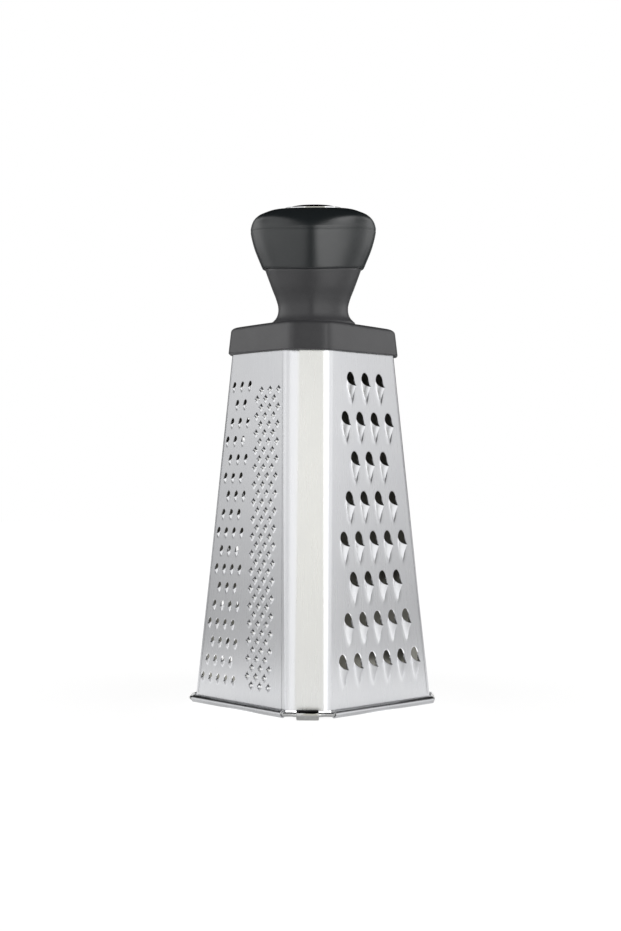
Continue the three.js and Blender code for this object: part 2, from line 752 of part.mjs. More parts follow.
// Retainer plate that clamps the four tabs against the collar's roof
const retainerTop = tabZ - SHEET - SEAT_GAP;
const retainerBottom = retainerTop - RETAINER_THICKNESS;
const washerTop = retainerBottom - SEAT_GAP;
const headTop = washerTop - WASHER_THICKNESS - SEAT_GAP;

function retainerGeometry() {
  const half = steelHalf(retainerTop) - SHEET - RETAINER_CLEARANCE;
  const bore = SCREW_RADIUS + SCREW_CLEARANCE;
  return loft([
    squareRing(half, CORNER_LEG, retainerBottom, 0),
    squareRing(half, CORNER_LEG, retainerTop, 0),
    roundRing(bore, retainerTop),
    roundRing(bore, retainerBottom),
  ], true);
}

function washerGeometry() {
  const bore = SCREW_RADIUS + SCREW_CLEARANCE;
  const bottom = washerTop - WASHER_THICKNESS;
  return loft([
    roundRing(WASHER_RADIUS, bottom),
    roundRing(WASHER_RADIUS, washerTop),
    roundRing(bore, washerTop),
    roundRing(bore, bottom),
  ], true);
}

function screwGeometry() {
  const crown = SCREW_HEAD_HEIGHT / 2;
  return loft([
    roundRing(SCREW_CROWN_RADIUS, headTop - SCREW_HEAD_HEIGHT),
    roundRing(SCREW_HEAD_RADIUS, headTop - SCREW_HEAD_HEIGHT + crown),
    roundRing(SCREW_HEAD_RADIUS, headTop),
    roundRing(SCREW_RADIUS, headTop),
    roundRing(SCREW_RADIUS, tabZ - SHEET + SCREW_BITE - SCREW_RADIUS),
    roundRing(SCREW_TIP_RADIUS, tabZ - SHEET + SCREW_BITE),
  ]);
}

const steel = new THREE.MeshStandardMaterial({ color: 0xc9cacd, roughness: 0.32, metalness: 1 });
const wireSteel = new THREE.MeshStandardMaterial({ color: 0xd6d7d9, roughness: 0.15, metalness: 1 });
const sleeveSteel = new THREE.MeshStandardMaterial({ color: 0x8d8f92, roughness: 0.3, metalness: 1 });
const hardPlastic = new THREE.MeshStandardMaterial({ color: 0x4d4f51, roughness: 0.5, metalness: 0 });
const softPlastic = new THREE.MeshStandardMaterial({ color: 0x3d4245, roughness: 0.6, metalness: 0 });
const plating = new THREE.MeshStandardMaterial({ color: 0xe4e6e8, roughness: 0.08, metalness: 1 });
const glossBlack = new THREE.MeshStandardMaterial({ color: 0x0c0d0f, roughness: 0.08, metalness: 0 });
const inside = new THREE.MeshStandardMaterial({ color: 0x55585a, roughness: 0.6, metalness: 0 });

const grater = new THREE.Group();

function addPiece(name, geometry, material, quarterTurns = 0) {
  const mesh = new THREE.Mesh(geometry, material);
  mesh.name = name;
  mesh.rotation.z = (quarterTurns * Math.PI) / 2;
  grater.add(mesh);
}

addPiece('coarse_face', faceGeometry(coarsePiercings()), steel, 0);
addPiece('slicer_face', faceGeometry(slicerPiercings()), steel, 1);
addPiece('medium_face', faceGeometry(mediumPiercings()), steel, 2);
addPiece('fine_rasp_face', faceGeometry([...finePiercings(), ...raspPiercings()]), steel, -1);
addPiece('corner_strip_right', plainStrip(), steel, 0);
addPiece('corner_strip_rear', plainStrip(), steel, 1);
addPiece('corner_strip_left', plainStrip(), steel, 2);
addPiece('corner_strip_front', lappedStrip(), steel, -1);
addPiece('seam_flange', underLap(), steel, -1);
addPiece('base_wire', wireGeometry(), wireSteel);
addPiece('wire_sleeve', sleeveGeometry(), sleeveSteel);
addPiece('handle_core', coreGeometry(), hardPlastic);
addPiece('knob_grip', gripGeometry(), softPlastic);
addPiece('cap_bezel', bezelGeometry(), plating);
addPiece('cap_insert', insertGeometry(), glossBlack);
addPiece('retainer_plate', retainerGeometry(), inside);
addPiece('screw_washer', washerGeometry(), wireSteel);
addPiece('handle_screw', screwGeometry(), wireSteel);

export default grater;
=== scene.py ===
"""Box grater with a soft-grip knob: its surfaces, finishes and studio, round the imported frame.

Sizes are millimetres in the frame's own axes, with +Z up and the origin on the table under
the middle of the body. They become metres when a mesh is made.
"""

import logging
import math
from dataclasses import dataclass, field, replace
from enum import Enum

import bpy
import numpy as np
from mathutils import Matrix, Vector
from mathutils.geometry import delaunay_2d_cdt

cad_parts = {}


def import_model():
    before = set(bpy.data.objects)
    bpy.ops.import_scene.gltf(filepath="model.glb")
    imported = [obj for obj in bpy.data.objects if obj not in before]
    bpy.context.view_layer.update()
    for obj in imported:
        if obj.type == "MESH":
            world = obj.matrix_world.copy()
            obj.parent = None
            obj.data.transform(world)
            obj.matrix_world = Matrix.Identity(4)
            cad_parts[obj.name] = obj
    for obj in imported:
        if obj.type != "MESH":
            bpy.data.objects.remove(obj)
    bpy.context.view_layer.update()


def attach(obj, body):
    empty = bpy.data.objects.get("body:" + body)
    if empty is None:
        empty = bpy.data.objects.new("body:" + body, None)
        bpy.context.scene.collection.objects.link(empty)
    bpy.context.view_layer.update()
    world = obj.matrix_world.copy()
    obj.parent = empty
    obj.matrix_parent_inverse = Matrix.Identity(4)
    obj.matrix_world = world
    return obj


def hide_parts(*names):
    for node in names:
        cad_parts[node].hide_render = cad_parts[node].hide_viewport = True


Array = np.ndarray
log = logging.getLogger("grater")

MM = 0.001  # metres in a millimetre
WELD = 1e-4  # millimetres under which two points are one
SHARP_EDGE = 62.0  # degrees over which an edge shades as a sharp one
EIGHTH = math.tan(math.pi / 8)  # tangent length of a 45 degree bend, for a radius of 1


def linear(hex_colour: str) -> tuple[float, float, float, float]:
    """Turns an sRGB hex colour such as "#C8C8C8" into linear RGBA.

    Args:
        hex_colour: a hash sign and six digits.

    Returns:
        Red, green, blue and alpha, from 0 to 1.
    """
    srgb = np.array([int(hex_colour[i:i + 2], 16) for i in (1, 3, 5)]) / 255
    rgb = np.where(srgb <= 0.04045, srgb / 12.92, ((srgb + 0.055) / 1.055) ** 2.4)
    return (*rgb.tolist(), 1.0)


def add_node(tree: bpy.types.NodeTree, kind: str, inputs: dict | None = None, **settings) -> bpy.types.Node:
    """Adds a shader node with its settings and links.

    Args:
        tree: the node tree.
        kind: the node's type name.
        inputs: a value, or another node's output to link, for each input's name or index.
        settings: the node's own properties.

    Returns:
        The node.
    """
    node = tree.nodes.new(kind)
    for name, value in settings.items():
        setattr(node, name, value)
    for key, value in (inputs or {}).items():
        if isinstance(value, bpy.types.NodeSocket):
            tree.links.new(value, node.inputs[key])
        else:
            node.inputs[key].default_value = value
    return node


def smooth_run(stations: Array, count: int) -> Array:
    """Draws a smooth curve through rows of values.

    The curve is made of cubic Hermite pieces. Its knots are spaced by the square root of the
    distance between rows, and the slope at an inner row is the mean of the slopes on its two
    sides, each weighted by the other side's span.

    Args:
        stations: rows of values, whose first three columns give the distance.
        count: rows to draw.

    Returns:
        The rows drawn, with the same columns.
    """
    spans = np.sqrt(np.linalg.norm(np.diff(stations[:, :3], axis=0), axis=1))
    knots = np.concatenate([[0.0], np.cumsum(spans)])
    secants = np.diff(stations, axis=0) / spans[:, None]
    weights = spans[:, None]
    inner = (secants[:-1] * weights[1:] + secants[1:] * weights[:-1]) / (weights[1:] + weights[:-1])
    slopes = np.concatenate([secants[:1], inner, secants[-1:]])
    places = np.linspace(0.0, knots[-1], count)
    i = np.clip(np.searchsorted(knots, places, side="right") - 1, 0, len(spans) - 1)
    span = weights[i]
    u = (places - knots[i])[:, None] / span
    start = (1 + 2 * u) * (1 - u) ** 2 * stations[i] + u * (1 - u) ** 2 * span * slopes[i]
    end = u ** 2 * (3 - 2 * u) * stations[i + 1] + u ** 2 * (u - 1) * span * slopes[i + 1]
    return start + end


def turned(points: Array, quarters: int) -> Array:
    """Turns points about the vertical axis by a number of quarter turns.

    Args:
        points: points (..., 3).
        quarters: quarter turns, from +X towards +Y.

    Returns:
        The turned points.
    """
    cosine, sine = ((1, 0), (0, 1), (-1, 0), (0, -1))[quarters % 4]
    x, y, z = np.moveaxis(points, -1, 0)
    return np.stack([cosine * x - sine * y, sine * x + cosine * y, z], axis=-1)


class Patchwork:
    """Patches of a surface, kept as arrays and joined into one mesh."""

    def __init__(self) -> None:
        """Starts with no patches."""
        self.points: list[Array] = []
        self.charts: list[Array] = []
        self.quads: list[Array] = [np.empty((0, 4), int)]
        self.triangles: list[Array] = [np.empty((0, 3), int)]
        self.count = 0

    def add(self, points: Array, faces: Array) -> None:
        """Adds a patch, whose flat coordinates are its points' first two.

        Args:
            points: its points (n, 3).
            faces: its faces (m, 3) or (m, 4), as rows of the points.
        """
        self.points.append(points)
        self.charts.append(points[:, :2])
        (self.quads if faces.shape[1] == 4 else self.triangles).append(faces + self.count)
        self.count += len(points)

    def add_grid(self, grid: Array, wrap_rows: bool = False, wrap_columns: bool = False) -> None:
        """Adds a grid of points, or a stack of equal grids.

        Args:
            grid: points (rows, columns, 3) or (copies, rows, columns, 3).
            wrap_rows: joins the last row to the first.
            wrap_columns: joins the last column to the first.
        """
        copies = grid.reshape(-1, *grid.shape[-3:])
        count, rows, columns = copies.shape[:3]
        index = np.arange(rows * columns).reshape(rows, columns)
        beside = np.roll(index, -1, axis=1)
        faces = np.stack([index, beside, np.roll(beside, -1, axis=0), np.roll(index, -1, axis=0)], axis=-1)
        faces = faces[:rows if wrap_rows else rows - 1, :columns if wrap_columns else columns - 1]
        shifts = np.arange(count)[:, None, None] * rows * columns
        self.add(copies.reshape(-1, 3), (faces.reshape(-1, 4) + shifts).reshape(-1, 4))

    def add_fan(self, ring: Array, flip: bool = False) -> None:
        """Closes a ring of points with triangles to its middle.

        Args:
            ring: points (n, 3).
            flip: turns the triangles over.
        """
        index = np.arange(len(ring))
        pair = [np.roll(index, -1), index] if flip else [index, np.roll(index, -1)]
        faces = np.stack([*pair, np.full(len(ring), len(ring))], axis=-1)
        self.add(np.vstack([ring, ring.mean(axis=0)]), faces)

    def welded(self) -> "Shell":
        """Joins the patches where their points meet.

        Returns:
            The joined shell.
        """
        points = np.concatenate(self.points)
        cells = np.round(points / WELD).astype(np.int64)
        _, first, place = np.unique(cells, axis=0, return_index=True, return_inverse=True)
        place = place.reshape(-1)
        return Shell(
            points[first],
            np.concatenate(self.charts)[first],
            place[np.concatenate(self.quads)],
            place[np.concatenate(self.triangles)],
        )


@dataclass
class Shell:
    """One joined surface: points, flat coordinates, quads and triangles, with marked inner faces."""

    points: Array
    charts: Array
    quads: Array
    triangles: Array
    inner: Array | None = None

    def corners(self) -> Array:
        """Returns every face as triangles, as rows of the points."""
        return np.concatenate([self.quads[:, [0, 1, 2]], self.quads[:, [0, 2, 3]], self.triangles])

    def thickened(self, wall: float) -> "Shell":
        """Gives an open sheet its thickness.

        A second skin lies one wall below the first, along the area-weighted mean of the
        normals round each point, and a band of quads joins the two along every free edge.

        Args:
            wall: the thickness.

        Returns:
            The closed shell, with the second skin marked as inner.
        """
        corners = self.corners()
        a, b, c = np.moveaxis(self.points[corners], 1, 0)
        normals = np.zeros_like(self.points)
        np.add.at(normals, corners.ravel(), np.repeat(np.cross(b - a, c - a), 3, axis=0))
        normals /= np.linalg.norm(normals, axis=1, keepdims=True)
        edges = np.concatenate(
            [self.quads[:, [i, (i + 1) % 4]] for i in range(4)]
            + [self.triangles[:, [i, (i + 1) % 3]] for i in range(3)]
        )
        count = len(self.points)
        codes = np.sort(edges, axis=1) @ np.array([count, 1])
        _, place, uses = np.unique(codes, return_inverse=True, return_counts=True)
        free = edges[uses[place.reshape(-1)] == 1]
        band = np.column_stack([free[:, 1], free[:, 0], free[:, 0] + count, free[:, 1] + count])
        inner = np.concatenate([
            np.zeros(len(self.quads), int),
            np.ones(len(self.quads), int),
            np.zeros(len(band) + len(self.triangles), int),
            np.ones(len(self.triangles), int),
        ])
        return Shell(
            np.concatenate([self.points, self.points - wall * normals]),
            np.concatenate([self.charts, self.charts]),
            np.concatenate([self.quads, self.quads[:, ::-1] + count, band]),
            np.concatenate([self.triangles, self.triangles[:, ::-1] + count]),
            inner,
        )

    def face_charts(self) -> Array:
        """Returns the mean flat coordinates of every face, quads first."""
        return np.concatenate([self.charts[faces].mean(axis=1) for faces in (self.quads, self.triangles)])

    def outward(self) -> "Shell":
        """Turns a closed body's faces outwards, by the sign of its volume.

        Returns:
            The same shell.
        """
        a, b, c = np.moveaxis(self.points[self.corners()], 1, 0)
        if np.einsum("ij,ij->", a, np.cross(b, c)) < 0:
            self.quads = self.quads[:, ::-1]
            self.triangles = self.triangles[:, ::-1]
        return self

    def piece(self, name: str, slot: str, nodes: list[str], *finishes: "Finish") -> bpy.types.Object:
        """Makes the mesh object, dresses it and hangs it on the frame.

        Args:
            name: the piece's name.
            slot: the record's material slot; not used.
            nodes: the CAD nodes that it stands for.
            finishes: the outer finish, and the inner one where the shell has two skins.

        Returns:
            The object.
        """
        mesh = bpy.data.meshes.new(name)
        faces = self.quads.tolist() + self.triangles.tolist()
        mesh.from_pydata((self.points * MM).tolist(), [], faces)
        loops = np.empty(len(mesh.loops), np.int32)
        mesh.loops.foreach_get("vertex_index", loops)
        chart = mesh.uv_layers.new(name="chart")
        chart.uv.foreach_set("vector", (self.charts[loops] * MM).astype(np.float32).ravel())
        for finish in finishes:
            mesh.materials.append(finish.material())
        if self.inner is not None and len(finishes) > 1:
            mesh.polygons.foreach_set("material_index", self.inner.astype(np.int32))
        mesh.set_sharp_from_angle(angle=math.radians(SHARP_EDGE))
        rounded = np.arange(len(faces)) < len(self.quads)  # triangles lie in flat parts only
        mesh.polygons.foreach_set("use_smooth", rounded)
        made = bpy.data.objects.new(name, mesh)
        bpy.context.scene.collection.objects.link(made)
        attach(made, "root")
        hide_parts(*nodes)
        log.info("%s: %d faces, for %s", name, len(faces), ", ".join(nodes))
        return made


@dataclass(frozen=True)
class Finish:
    """A finish with one principled shader. A finish of each kind adds its own pattern."""

    name: str
    colour: str
    roughness: float

    def material(self) -> bpy.types.Material:
        """Makes the material, or finds it if it is made already.

        Returns:
            The material.
        """
        made = bpy.data.materials.get(self.name)
        if made is None:
            made = bpy.data.materials.new(self.name)
            made.use_nodes = True
            tree = made.node_tree
            shader = tree.nodes["Principled BSDF"]
            shader.inputs["Base Color"].default_value = linear(self.colour)
            shader.inputs["Roughness"].default_value = self.roughness
            self.dress(tree, shader)
        return made

    def dress(self, tree: bpy.types.NodeTree, shader: bpy.types.Node) -> None:
        """Adds the finish's own pattern.

        Args:
            tree: the material's nodes.
            shader: its principled shader.
        """


@dataclass(frozen=True)
class RolledSteel(Finish):
    """Stainless sheet, cold rolled and lightly brushed up the slope.

    The rolling leaves soft clouds and the brush leaves fine streaks, so that reflections
    blur and break up slightly across the sheet.
    """

    shade: str = "#CFD0D2"
    streak_width: float = 0.45  # millimetres; a brush's own scratches are too fine to show
    streak_length: float = 40.0
    cloud: float = 14.0
    spread: float = 0.05  # change of roughness between streaks

    def dress(self, tree: bpy.types.NodeTree, shader: bpy.types.Node) -> None:
        """Adds streaks along the chart's second axis, and clouds.

        Args:
            tree: the material's nodes.
            shader: its principled shader.
        """
        shader.inputs["Metallic"].default_value = 1.0
        chart = add_node(tree, "ShaderNodeUVMap", uv_map="chart")
        stretch = (1 / (self.streak_width * MM), 1 / (self.streak_length * MM), 1.0)
        streaks = add_node(tree, "ShaderNodeTexNoise", {
            "Vector": add_node(tree, "ShaderNodeMapping", {
                "Vector": chart.outputs["UV"], "Scale": stretch}).outputs["Vector"],
            "Scale": 1.0, "Detail": 3.0, "Roughness": 0.6})
        clouds = add_node(tree, "ShaderNodeTexNoise", {
            "Vector": chart.outputs["UV"], "Scale": 1 / (self.cloud * MM), "Detail": 2.0})
        mixed = add_node(tree, "ShaderNodeMath", {
            0: streaks.outputs["Fac"], 1: clouds.outputs["Fac"]}, operation="MULTIPLY")
        tone = add_node(tree, "ShaderNodeMapRange", {
            "Value": mixed.outputs["Value"], "From Min": 0.12, "From Max": 0.4})
        colour = add_node(tree, "ShaderNodeMix", {
            0: tone.outputs["Result"], 6: linear(self.shade), 7: linear(self.colour)}, data_type="RGBA")
        gloss = add_node(tree, "ShaderNodeMapRange", {
            "Value": streaks.outputs["Fac"], "From Min": 0.3, "From Max": 0.7,
            "To Min": self.roughness - self.spread, "To Max": self.roughness + self.spread})
        bump = add_node(tree, "ShaderNodeBump", {
            "Height": streaks.outputs["Fac"], "Strength": 0.02, "Distance": 0.01 * MM})
        tree.links.new(colour.outputs[2], shader.inputs["Base Color"])
        tree.links.new(gloss.outputs["Result"], shader.inputs["Roughness"])
        tree.links.new(bump.outputs["Normal"], shader.inputs["Normal"])


@dataclass(frozen=True)
class DrawnSteel(Finish):
    """Bright steel wire or turned steel, with faint drawing marks and stains."""

    shade: str = "#B9BABC"
    grain: float = 1.2

    def dress(self, tree: bpy.types.NodeTree, shader: bpy.types.Node) -> None:
        """Adds small tonal and gloss changes.

        Args:
            tree: the material's nodes.
            shader: its principled shader.
        """
        shader.inputs["Metallic"].default_value = 1.0
        place = add_node(tree, "ShaderNodeTexCoord")
        noise = add_node(tree, "ShaderNodeTexNoise", {
            "Vector": place.outputs["Object"], "Scale": 1 / (self.grain * MM), "Detail": 4.0})
        colour = add_node(tree, "ShaderNodeMix", {
            0: noise.outputs["Fac"], 6: linear(self.shade), 7: linear(self.colour)}, data_type="RGBA")
        gloss = add_node(tree, "ShaderNodeMapRange", {
            "Value": noise.outputs["Fac"], "From Min": 0.3, "From Max": 0.7,
            "To Min": 0.75 * self.roughness, "To Max": 1.3 * self.roughness})
        tree.links.new(colour.outputs[2], shader.inputs["Base Color"])
        tree.links.new(gloss.outputs["Result"], shader.inputs["Roughness"])


@dataclass(frozen=True)
class MouldedPlastic(Finish):
    """Dark plastic from an eroded mould: a matt, finely pitted skin that speckles in the light."""

    shade: str = "#3A3A3B"
    pit: float = 0.55  # millimetres; an eroded mould is finer than shows
    depth: float = 0.05
    cloud: float = 9.0
    specular: float = 0.5

    def dress(self, tree: bpy.types.NodeTree, shader: bpy.types.Node) -> None:
        """Adds the pitted grain and a soft change of tone.

        Args:
            tree: the material's nodes.
            shader: its principled shader.
        """
        shader.inputs["Specular IOR Level"].default_value = self.specular
        place = add_node(tree, "ShaderNodeTexCoord")
        pits = add_node(tree, "ShaderNodeTexNoise", {
            "Vector": place.outputs["Object"], "Scale": 1 / (self.pit * MM), "Detail": 2.0})
        clouds = add_node(tree, "ShaderNodeTexNoise", {
            "Vector": place.outputs["Object"], "Scale": 1 / (self.cloud * MM), "Detail": 2.0})
        both = add_node(tree, "ShaderNodeMath", {
            0: pits.outputs["Fac"], 1: clouds.outputs["Fac"]}, operation="ADD")
        tone = add_node(tree, "ShaderNodeMapRange", {
            "Value": both.outputs["Value"], "From Min": 0.7, "From Max": 1.3})
        colour = add_node(tree, "ShaderNodeMix", {
            0: tone.outputs["Result"], 6: linear(self.shade), 7: linear(self.colour)}, data_type="RGBA")
        gloss = add_node(tree, "ShaderNodeMapRange", {
            "Value": pits.outputs["Fac"], "From Min": 0.3, "From Max": 0.7,
            "To Min": 0.88 * self.roughness, "To Max": 1.12 * self.roughness})
        bump = add_node(tree, "ShaderNodeBump", {
            "Height": pits.outputs["Fac"], "Strength": 0.5, "Distance": self.depth * MM})
        tree.links.new(colour.outputs[2], shader.inputs["Base Color"])
        tree.links.new(gloss.outputs["Result"], shader.inputs["Roughness"])
        tree.links.new(bump.outputs["Normal"], shader.inputs["Normal"])


@dataclass(frozen=True)
class PolishedCap(Finish):
    """Plated or lacquered plastic, polished, with the slow ripple of a moulded face."""

    metallic: float = 0.0
    specular: float = 0.5
    ripple: float = 6.0

    def dress(self, tree: bpy.types.NodeTree, shader: bpy.types.Node) -> None:
        """Adds the ripple and its change of gloss.

        Args:
            tree: the material's nodes.
            shader: its principled shader.
        """
        shader.inputs["Metallic"].default_value = self.metallic
        shader.inputs["Specular IOR Level"].default_value = self.specular
        place = add_node(tree, "ShaderNodeTexCoord")
        noise = add_node(tree, "ShaderNodeTexNoise", {
            "Vector": place.outputs["Object"], "Scale": 1 / (self.ripple * MM), "Detail": 1.0})
        bump = add_node(tree, "ShaderNodeBump", {
            "Height": noise.outputs["Fac"], "Strength": 0.1, "Distance": 0.1 * MM})
        gloss = add_node(tree, "ShaderNodeMapRange", {
            "Value": noise.outputs["Fac"], "To Min": 0.7 * self.roughness, "To Max": 1.3 * self.roughness})
        tree.links.new(gloss.outputs["Result"], shader.inputs["Roughness"])
        tree.links.new(bump.outputs["Normal"], shader.inputs["Normal"])


SHEET_OUTSIDE = RolledSteel("satin_stainless_sheet", "#F0F1F3", 0.28, shade="#ECEDF0", spread=0.01)
# painted shade: the sheet's inner skin is coloured far darker than its outer one, so the body's inside reads
# dark; its higher roughness is the mill finish
SHEET_INSIDE_PAINTED_SHADE = RolledSteel("mill_finish_sheet_painted_shade", "#8C8B86", 0.45, shade="#77766F")
WIRE_STEEL = DrawnSteel("bright_drawn_wire", "#E4E4E2", 0.16)
SLEEVE_STEEL = DrawnSteel("bright_steel_ferrule", "#D2D2D0", 0.12, shade="#ACADAC")
FASTENER_STEEL = DrawnSteel("zinc_plated_steel", "#BFC1C4", 0.35, shade="#9C9EA2")
HARD_PLASTIC = MouldedPlastic("eroded_moulded_plastic", "#4E4E50", 0.45, shade="#464648", specular=0.6)
SOFT_GRIP = MouldedPlastic(
    "soft_touch_rubber", "#24292B", 0.36, shade="#1F2426", pit=0.4, depth=0.015, specular=0.85)
INNER_PLASTIC = MouldedPlastic("plain_moulded_plastic", "#7C7C7C", 0.6, shade="#6E6E6E")
PLATING = PolishedCap("bright_chrome_plating", "#E6E7E8", 0.06, metallic=1.0)
GLOSS_BLACK = PolishedCap("gloss_black_lacquer", "#050506", 0.1, specular=0.04)


class Face(Enum):
    """The four faces: the CAD node, and the quarter turns from the -Y face."""

    COARSE = ("coarse_face", 0)
    SLICER = ("slicer_face", 1)
    MEDIUM = ("medium_face", 2)
    FINE_RASP = ("fine_rasp_face", 3)


class Corner(Enum):
    """The three plain corners: the CAD node, and the quarter turns from the +X -Y corner."""

    RIGHT = ("corner_strip_right", 0)
    REAR = ("corner_strip_rear", 1)
    LEFT = ("corner_strip_left", 2)


@dataclass(frozen=True)
class Bend:
    """A bend between a face and a corner strip, whose radius changes evenly with height."""

    leg: float  # from the square corner to the bend
    low: float = 2.0  # radius at the table
    high: float = 2.0  # radius under the collar
    land: float = 0.4  # flat that the corner piece takes beside the bend
    notch: float = 4.6  # height of the sheet's edge over the bare wire

    def radius(self, share: float) -> float:
        """Returns the radius at a share of the height."""
        return self.low + (self.high - self.low) * share


@dataclass(frozen=True)
class Tooth:
    """A pierced tooth: a hole whose lower edge is raised over a hood that runs out below it."""

    width: float
    height: float
    lip: float
    tail: float
    points: int
    margin: tuple[float, float]
    oval: float = 1.0  # below 1 the hole's corners fill out
    crest: float = 1.5  # how pointed the lip's arch is
    bulge: float = 0.75  # how fast the hood narrows to its tip
    flare: float = 1.15  # hood's width at the hole over the hole's width
    land: float = 0.5  # flat ring over the hole
    roll: float = 0.04  # the upper edge is drawn in by the punch
    hollow: float = 1.8  # 1 for a straight hood, more for one that runs out softly
    upper_hollow: float = 3.0  # the same for the edge over the hole
    rises: tuple[float, ...] = (0.0, 0.14, 0.34, 0.6, 0.82, 1.0)
    field_power: float = 3.0  # 2 for an oval field round the tooth, more for a squarer one

    def rings(self) -> Array:
        """Works out the tooth's rings from the flat field inwards to the lip.

        The hole is x = sin(a), y = cos(a) with both filled out by a power, times its half
        sizes. Below its middle the edge rises by the lip times 1 - |x| to the crest power,
        and the hood's foot runs from beside the hole to the tip by 1 - (fall/tail) squared to
        the bulge power. Rings between foot and edge are straight in plan, and their height
        follows a power of their share. The outermost ring is a flat oval round it all, on rays
        from its middle.

        Returns:
            Points (rings, points, 3), along the face, up it and out of it.
        """
        a = np.linspace(0.0, 2 * math.pi, self.points, endpoint=False)
        x = -np.sign(np.sin(a)) * np.abs(np.sin(a)) ** self.oval
        y = np.sign(np.cos(a)) * np.abs(np.cos(a)) ** self.oval
        x[np.abs(x) < 1e-9] = 0.0
        hooded = y < -1e-9
        half = self.width / 2
        lift = np.where(hooded, self.lip * (1 - np.abs(x) ** self.crest), -self.roll)
        edge = np.stack([half * x, self.height / 2 * y, lift], axis=-1)
        fall = np.where(hooded, -y, 0.0)
        side = np.where(hooded, np.sign(x) * np.maximum(1 - fall ** 2, 0.0) ** self.bulge, x)
        along = np.where(hooded, -self.tail * fall, (self.height / 2 + self.land) * y)
        foot = np.stack([half * self.flare * side, along, np.zeros_like(along)], axis=-1)
        rise = np.array(self.rises)[:, None, None]
        rings = foot + (edge - foot) * rise
        rings[..., 2] = lift * rise[..., 0] ** np.where(hooded, self.hollow, self.upper_hollow)
        middle = (self.height / 2 - self.tail) / 2
        angle = np.arctan2(foot[:, 1] - middle, foot[:, 0])
        wide = half * self.flare + self.margin[0]
        tall = (self.height / 2 + self.tail) / 2 + self.margin[1]
        power = self.field_power
        cosine, sine = np.cos(angle), np.sin(angle)
        reach = (np.abs(cosine / wide) ** power + np.abs(sine / tall) ** power) ** (-1 / power)
        oval = np.stack([reach * cosine, middle + reach * sine, np.zeros_like(angle)], axis=-1)
        return np.concatenate([oval[None], rings])


@dataclass(frozen=True)
class Burr:
    """A rasp burr: a four-sided crown torn open along a cross."""

    across: float = 1.9  # half diagonals of its base
    along: float = 2.3
    lip: float = 1.0
    tear: float = 0.4  # drop of the rim at the ends of the tears
    slit: tuple[float, float] = (0.6, 1.15)  # rim's radius at the petals and at the tears
    points: int = 16
    hollow: float = 1.4  # 1 for straight flanks
    rises: tuple[float, ...] = (0.0, 0.12, 0.55, 1.0)

    def rings(self) -> Array:
        """Works out the burr's rings from its flat diamond inwards to the torn rim.

        The base's radius is 1 / (|cos| / across + |sin| / along). The rim's radius swings
        between petal and tear with the square of sin 2a, and so does its height. Rings
        between them rise by a power of their share, so that the flanks are hollow.

        Returns:
            Points (rings, points, 3), along the face, up it and out of it.
        """
        a = np.linspace(0.0, 2 * math.pi, self.points, endpoint=False)
        cosine, sine = np.cos(a), np.sin(a)
        base = 1 / (np.abs(cosine) / self.across + np.abs(sine) / self.along)
        torn = np.sin(2 * a) ** 2
        rim = self.slit[0] + (self.slit[1] - self.slit[0]) * torn
        rise = np.array(self.rises)[:, None]
        radius = base + (rim - base) * rise
        height = (self.lip - self.tear * torn) * rise ** self.hollow
        return np.stack([radius * cosine, radius * sine, height], axis=-1)


@dataclass(frozen=True)
class ToothRows:
    """Rows of teeth on a face, every other one shifted by half a pitch."""

    first: float  # height of the lowest row
    row_pitch: float
    top: float  # least height from the top row to the collar
    pitch: float = 0.0  # spacing in a row
    margin: float = 0.0  # kept clear beside the pattern
    centre: float = 0.0  # the pattern's middle along the face
    shifted: int = 0  # 0 where the lowest row is a shifted one, or 1


def flat_remainder(outline: Array, feet: list[Array]) -> tuple[Array, Array]:
    """Divides a flat panel outside its convex feet into triangles.

    Args:
        outline: the panel's corners (n, 2), anticlockwise.
        feet: for each kind of foot, its copies' points (copies, points, 2).

    Returns:
        The points (m, 2) and the triangles, as rows of the points.
    """
    loops = [outline[None], *feet]
    points = np.concatenate([loop.reshape(-1, 2) for loop in loops])
    edges, labels, start, label = [], [], 0, 0
    for loop in loops:
        copies, count = loop.shape[:2]
        index = start + np.arange(copies * count).reshape(copies, count)
        edges.append(np.stack([index, np.roll(index, -1, axis=1)], axis=-1).reshape(-1, 2))
        labels.append(label + np.repeat(np.arange(copies), count))
        start += copies * count
        label += copies
    made = delaunay_2d_cdt(points.tolist(), np.concatenate(edges).tolist(), [], 1, 1e-9, False)
    spots, triangles = np.array(made[0]), np.array(made[2])
    if len(spots) != len(points):
        raise ValueError("feet of the panel touch")
    a, b, c = np.concatenate(labels)[triangles].T
    kept = triangles[(a != b) | (b != c) | (a == 0)]
    p, q, r = np.moveaxis(spots[kept], 1, 0)
    area = (q - p)[:, 0] * (r - p)[:, 1] - (q - p)[:, 1] * (r - p)[:, 0]
    kept[area < 0] = kept[area < 0][:, ::-1]
    return spots, kept


